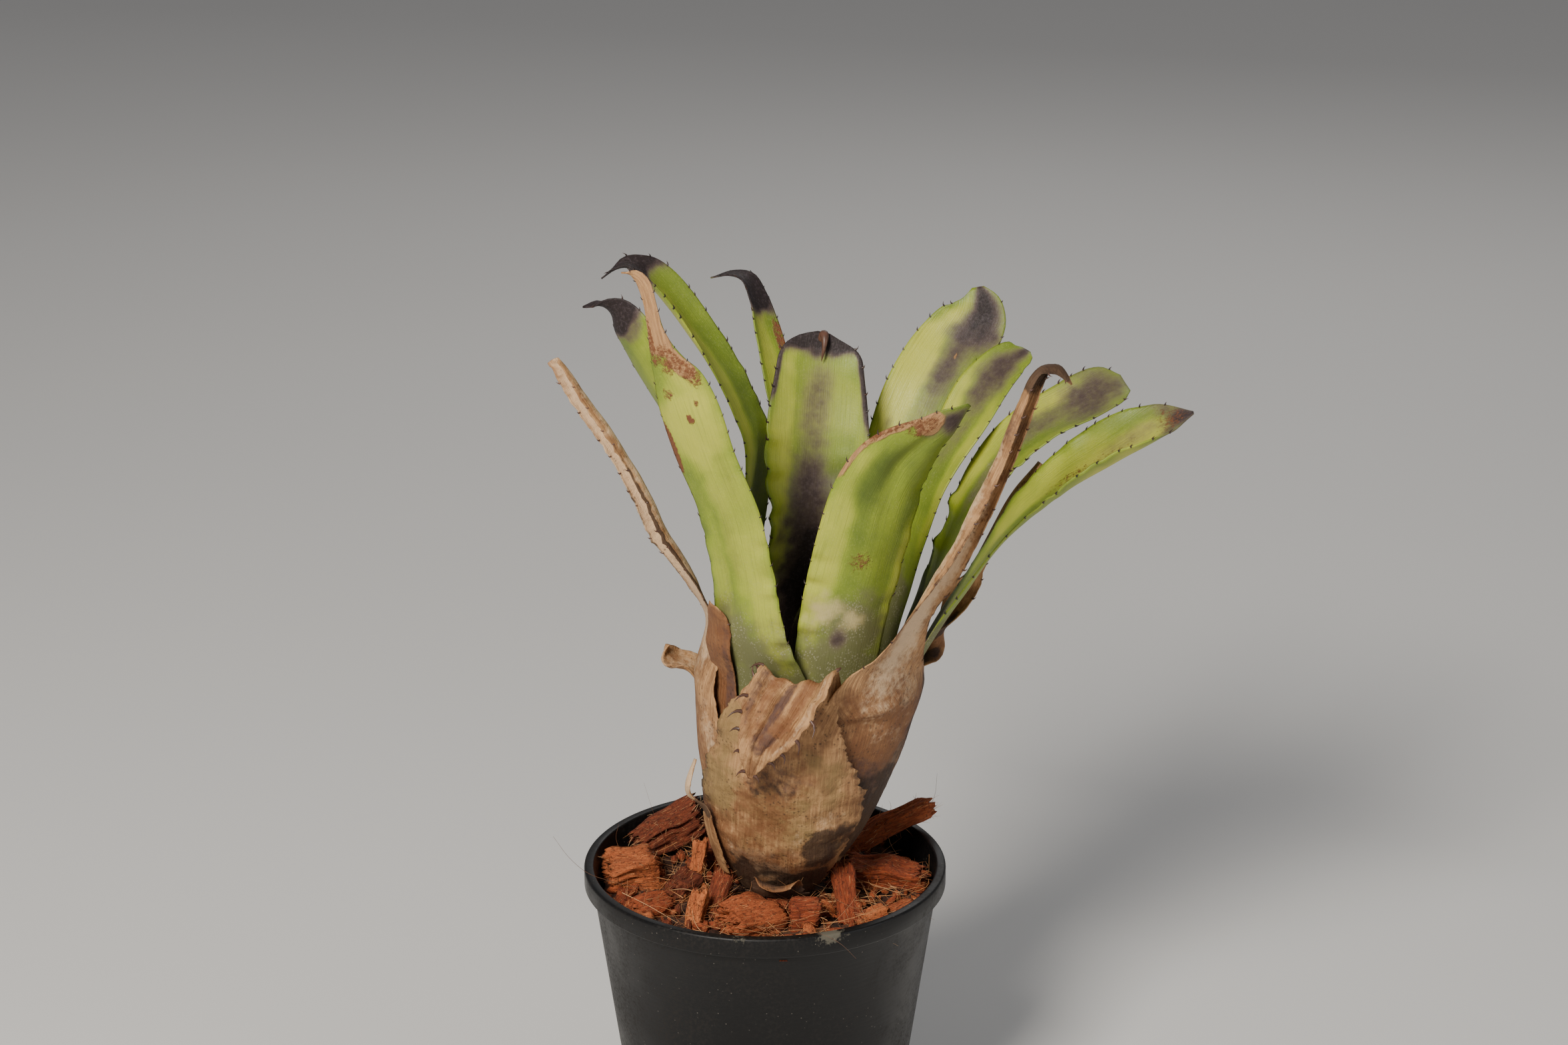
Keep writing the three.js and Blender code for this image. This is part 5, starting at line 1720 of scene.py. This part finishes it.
# ------------------------------------------------------------------------------------------ stage
def lay_floor(finish: bpy.types.Material) -> None:
    """A plain floor under the pot, wide enough to fill the view."""
    bm = bmesh.new()
    bmesh.ops.create_grid(bm, x_segments=2, y_segments=2, size=9.0)
    floor = object_from(bm, "floor", finish)


def hang_light(name: str, at: Colour, target: Colour, size: float, power: float, colour: Colour) -> None:
    """Adds a square soft light.

    Args:
        name: The light's name.
        at: Where it hangs, in metres.
        target: Where it points.
        size: The side of its square, in metres.
        power: Its power in watts.
        colour: Its colour.
    """
    light = bpy.data.lights.new(name, "AREA")
    light.shape = "SQUARE"
    light.size = size
    light.energy = power
    light.color = colour
    lamp = in_scene(name, light)
    lamp.location = at
    lamp.rotation_euler = (Vector(target) - Vector(at)).to_track_quat("-Z", "Y").to_euler()


def light_studio() -> None:
    """A large soft key light in front, a fill at the right, a back light and a pale surround."""
    middle = (0.02, 0.0, 0.19)
    hang_light("key", (-0.50, -1.05, 1.10), middle, 0.40, 31.0, (1.0, 0.95, 0.87))
    hang_light("fill", (1.3, -0.6, 0.6), middle, 0.9, 4.0, (0.95, 0.97, 1.0))
    hang_light("back", (0.3, 1.2, 1.0), middle, 0.8, 3.0, (1.0, 0.98, 0.95))
    world = bpy.data.worlds.new("surround")
    world.use_nodes = True
    background = world.node_tree.nodes["Background"]
    background.inputs["Color"].default_value = (0.95, 0.96, 1.0, 1.0)
    background.inputs["Strength"].default_value = 0.18
    bpy.context.scene.world = world


def set_camera() -> None:
    """A long lens a metre in front of the pot, looking a little down."""
    lens = bpy.data.cameras.new("camera")
    lens.sensor_width = 36.0
    lens.lens = 80.72
    camera = in_scene("camera", lens)
    camera.location = (0.0063, -1.0674, 0.5914)
    camera.rotation_euler = (math.radians(71.0), 0.0, 0.0)
    bpy.context.scene.camera = camera


# ------------------------------------------------------------------------------------------ the whole plant
def build_leaves(trunk: Trunk, green: bpy.types.Material, dry: bpy.types.Material,
                 thorn: bpy.types.Material) -> None:
    """Builds the living leaves, then the dead ones."""
    for number, shape in enumerate(GREEN_LEAVES):
        leaf = Leaf(shape, trunk, number)
        leaf.build(green, Slot.GREEN)
        leaf.spines(thorn, 0.12)
    hook_of_back_leaf(trunk, thorn)
    for number, shape in enumerate(DEAD_LEAVES, len(GREEN_LEAVES)):
        leaf = Leaf(shape, trunk, number)
        leaf.build(dry, Slot.DRY)
        leaf.spines(thorn, 0.48)


def hook_of_back_leaf(trunk: Trunk, thorn: bpy.types.Material) -> None:
    """The broad hooked end spine that folds forward and down over the back leaf's tip."""
    stops = ((-5.0, 105.6, 179.0), (-6.0, 105.8, 180.4), (-8.0, 106.2, 179.6), (-9.4, 106.8, 177.0),
             (-9.8, 107.4, 174.4), (-9.7, 107.6, 172.5))
    line, places = through(np.array([trunk.polar(trunk.radius(trunk.collar) + out, azimuth, height)
                                     for out, azimuth, height in stops]), 6)
    radii = np.interp(places, [0, 1, 2, 3, 5], [1.9, 1.6, 1.2, 0.7, 0.06])
    publish(strands("leaf_back_hook", [(line, radii)], 10, thorn, [0.55]))


def fill_pot(pot: Pot, trunk: Trunk, settled: float, effects: Effects) -> None:
    """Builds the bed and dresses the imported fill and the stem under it."""
    husk = Husk("coco_husk", effects).material
    bed_finish = Bed("coco_bed", effects).material
    bed = HuskBed(pot, trunk, settled)
    for number, chip in enumerate(CHIPS, 1):
        bed.chip(chip, number, husk)
    bed.litter(bed_finish)
    bed.scatter_crumbs(husk)
    bed.coir(Fibre("coir", effects).material)
    bark = Bark("stem_bark", effects).material
    for node, finish in (("coco_fill", bed_finish), ("stem", bark)):
        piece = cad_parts[node]
        piece.data.materials.clear()
        piece.data.materials.append(finish)


def main() -> None:
    """Builds the pot, the plant and the stage, in that order."""
    logging.basicConfig(level=logging.INFO, format="%(name)s %(message)s")
    set_camera()
    effects = Effects()
    low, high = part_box("pot")
    pot = Pot(height=high.z / MM, rim_radius=(high.x - low.x) / 2 / MM)
    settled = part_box("coco_fill")[1].z / MM - HEAP
    trunk = Trunk(soil=settled + CHIP_LAYER)
    pot.build(PotPlastic("black_plastic", effects).material)
    fill_pot(pot, trunk, settled, effects)
    build_leaves(trunk, GreenLeaf("green_leaf", effects).material, DryLeaf("dry_leaf", effects).material,
                 Thorn("spine_horn", effects).material)
    lay_floor(Ground("pale_floor", effects).material)
    light_studio()


if __name__ == "__main__":
    main()
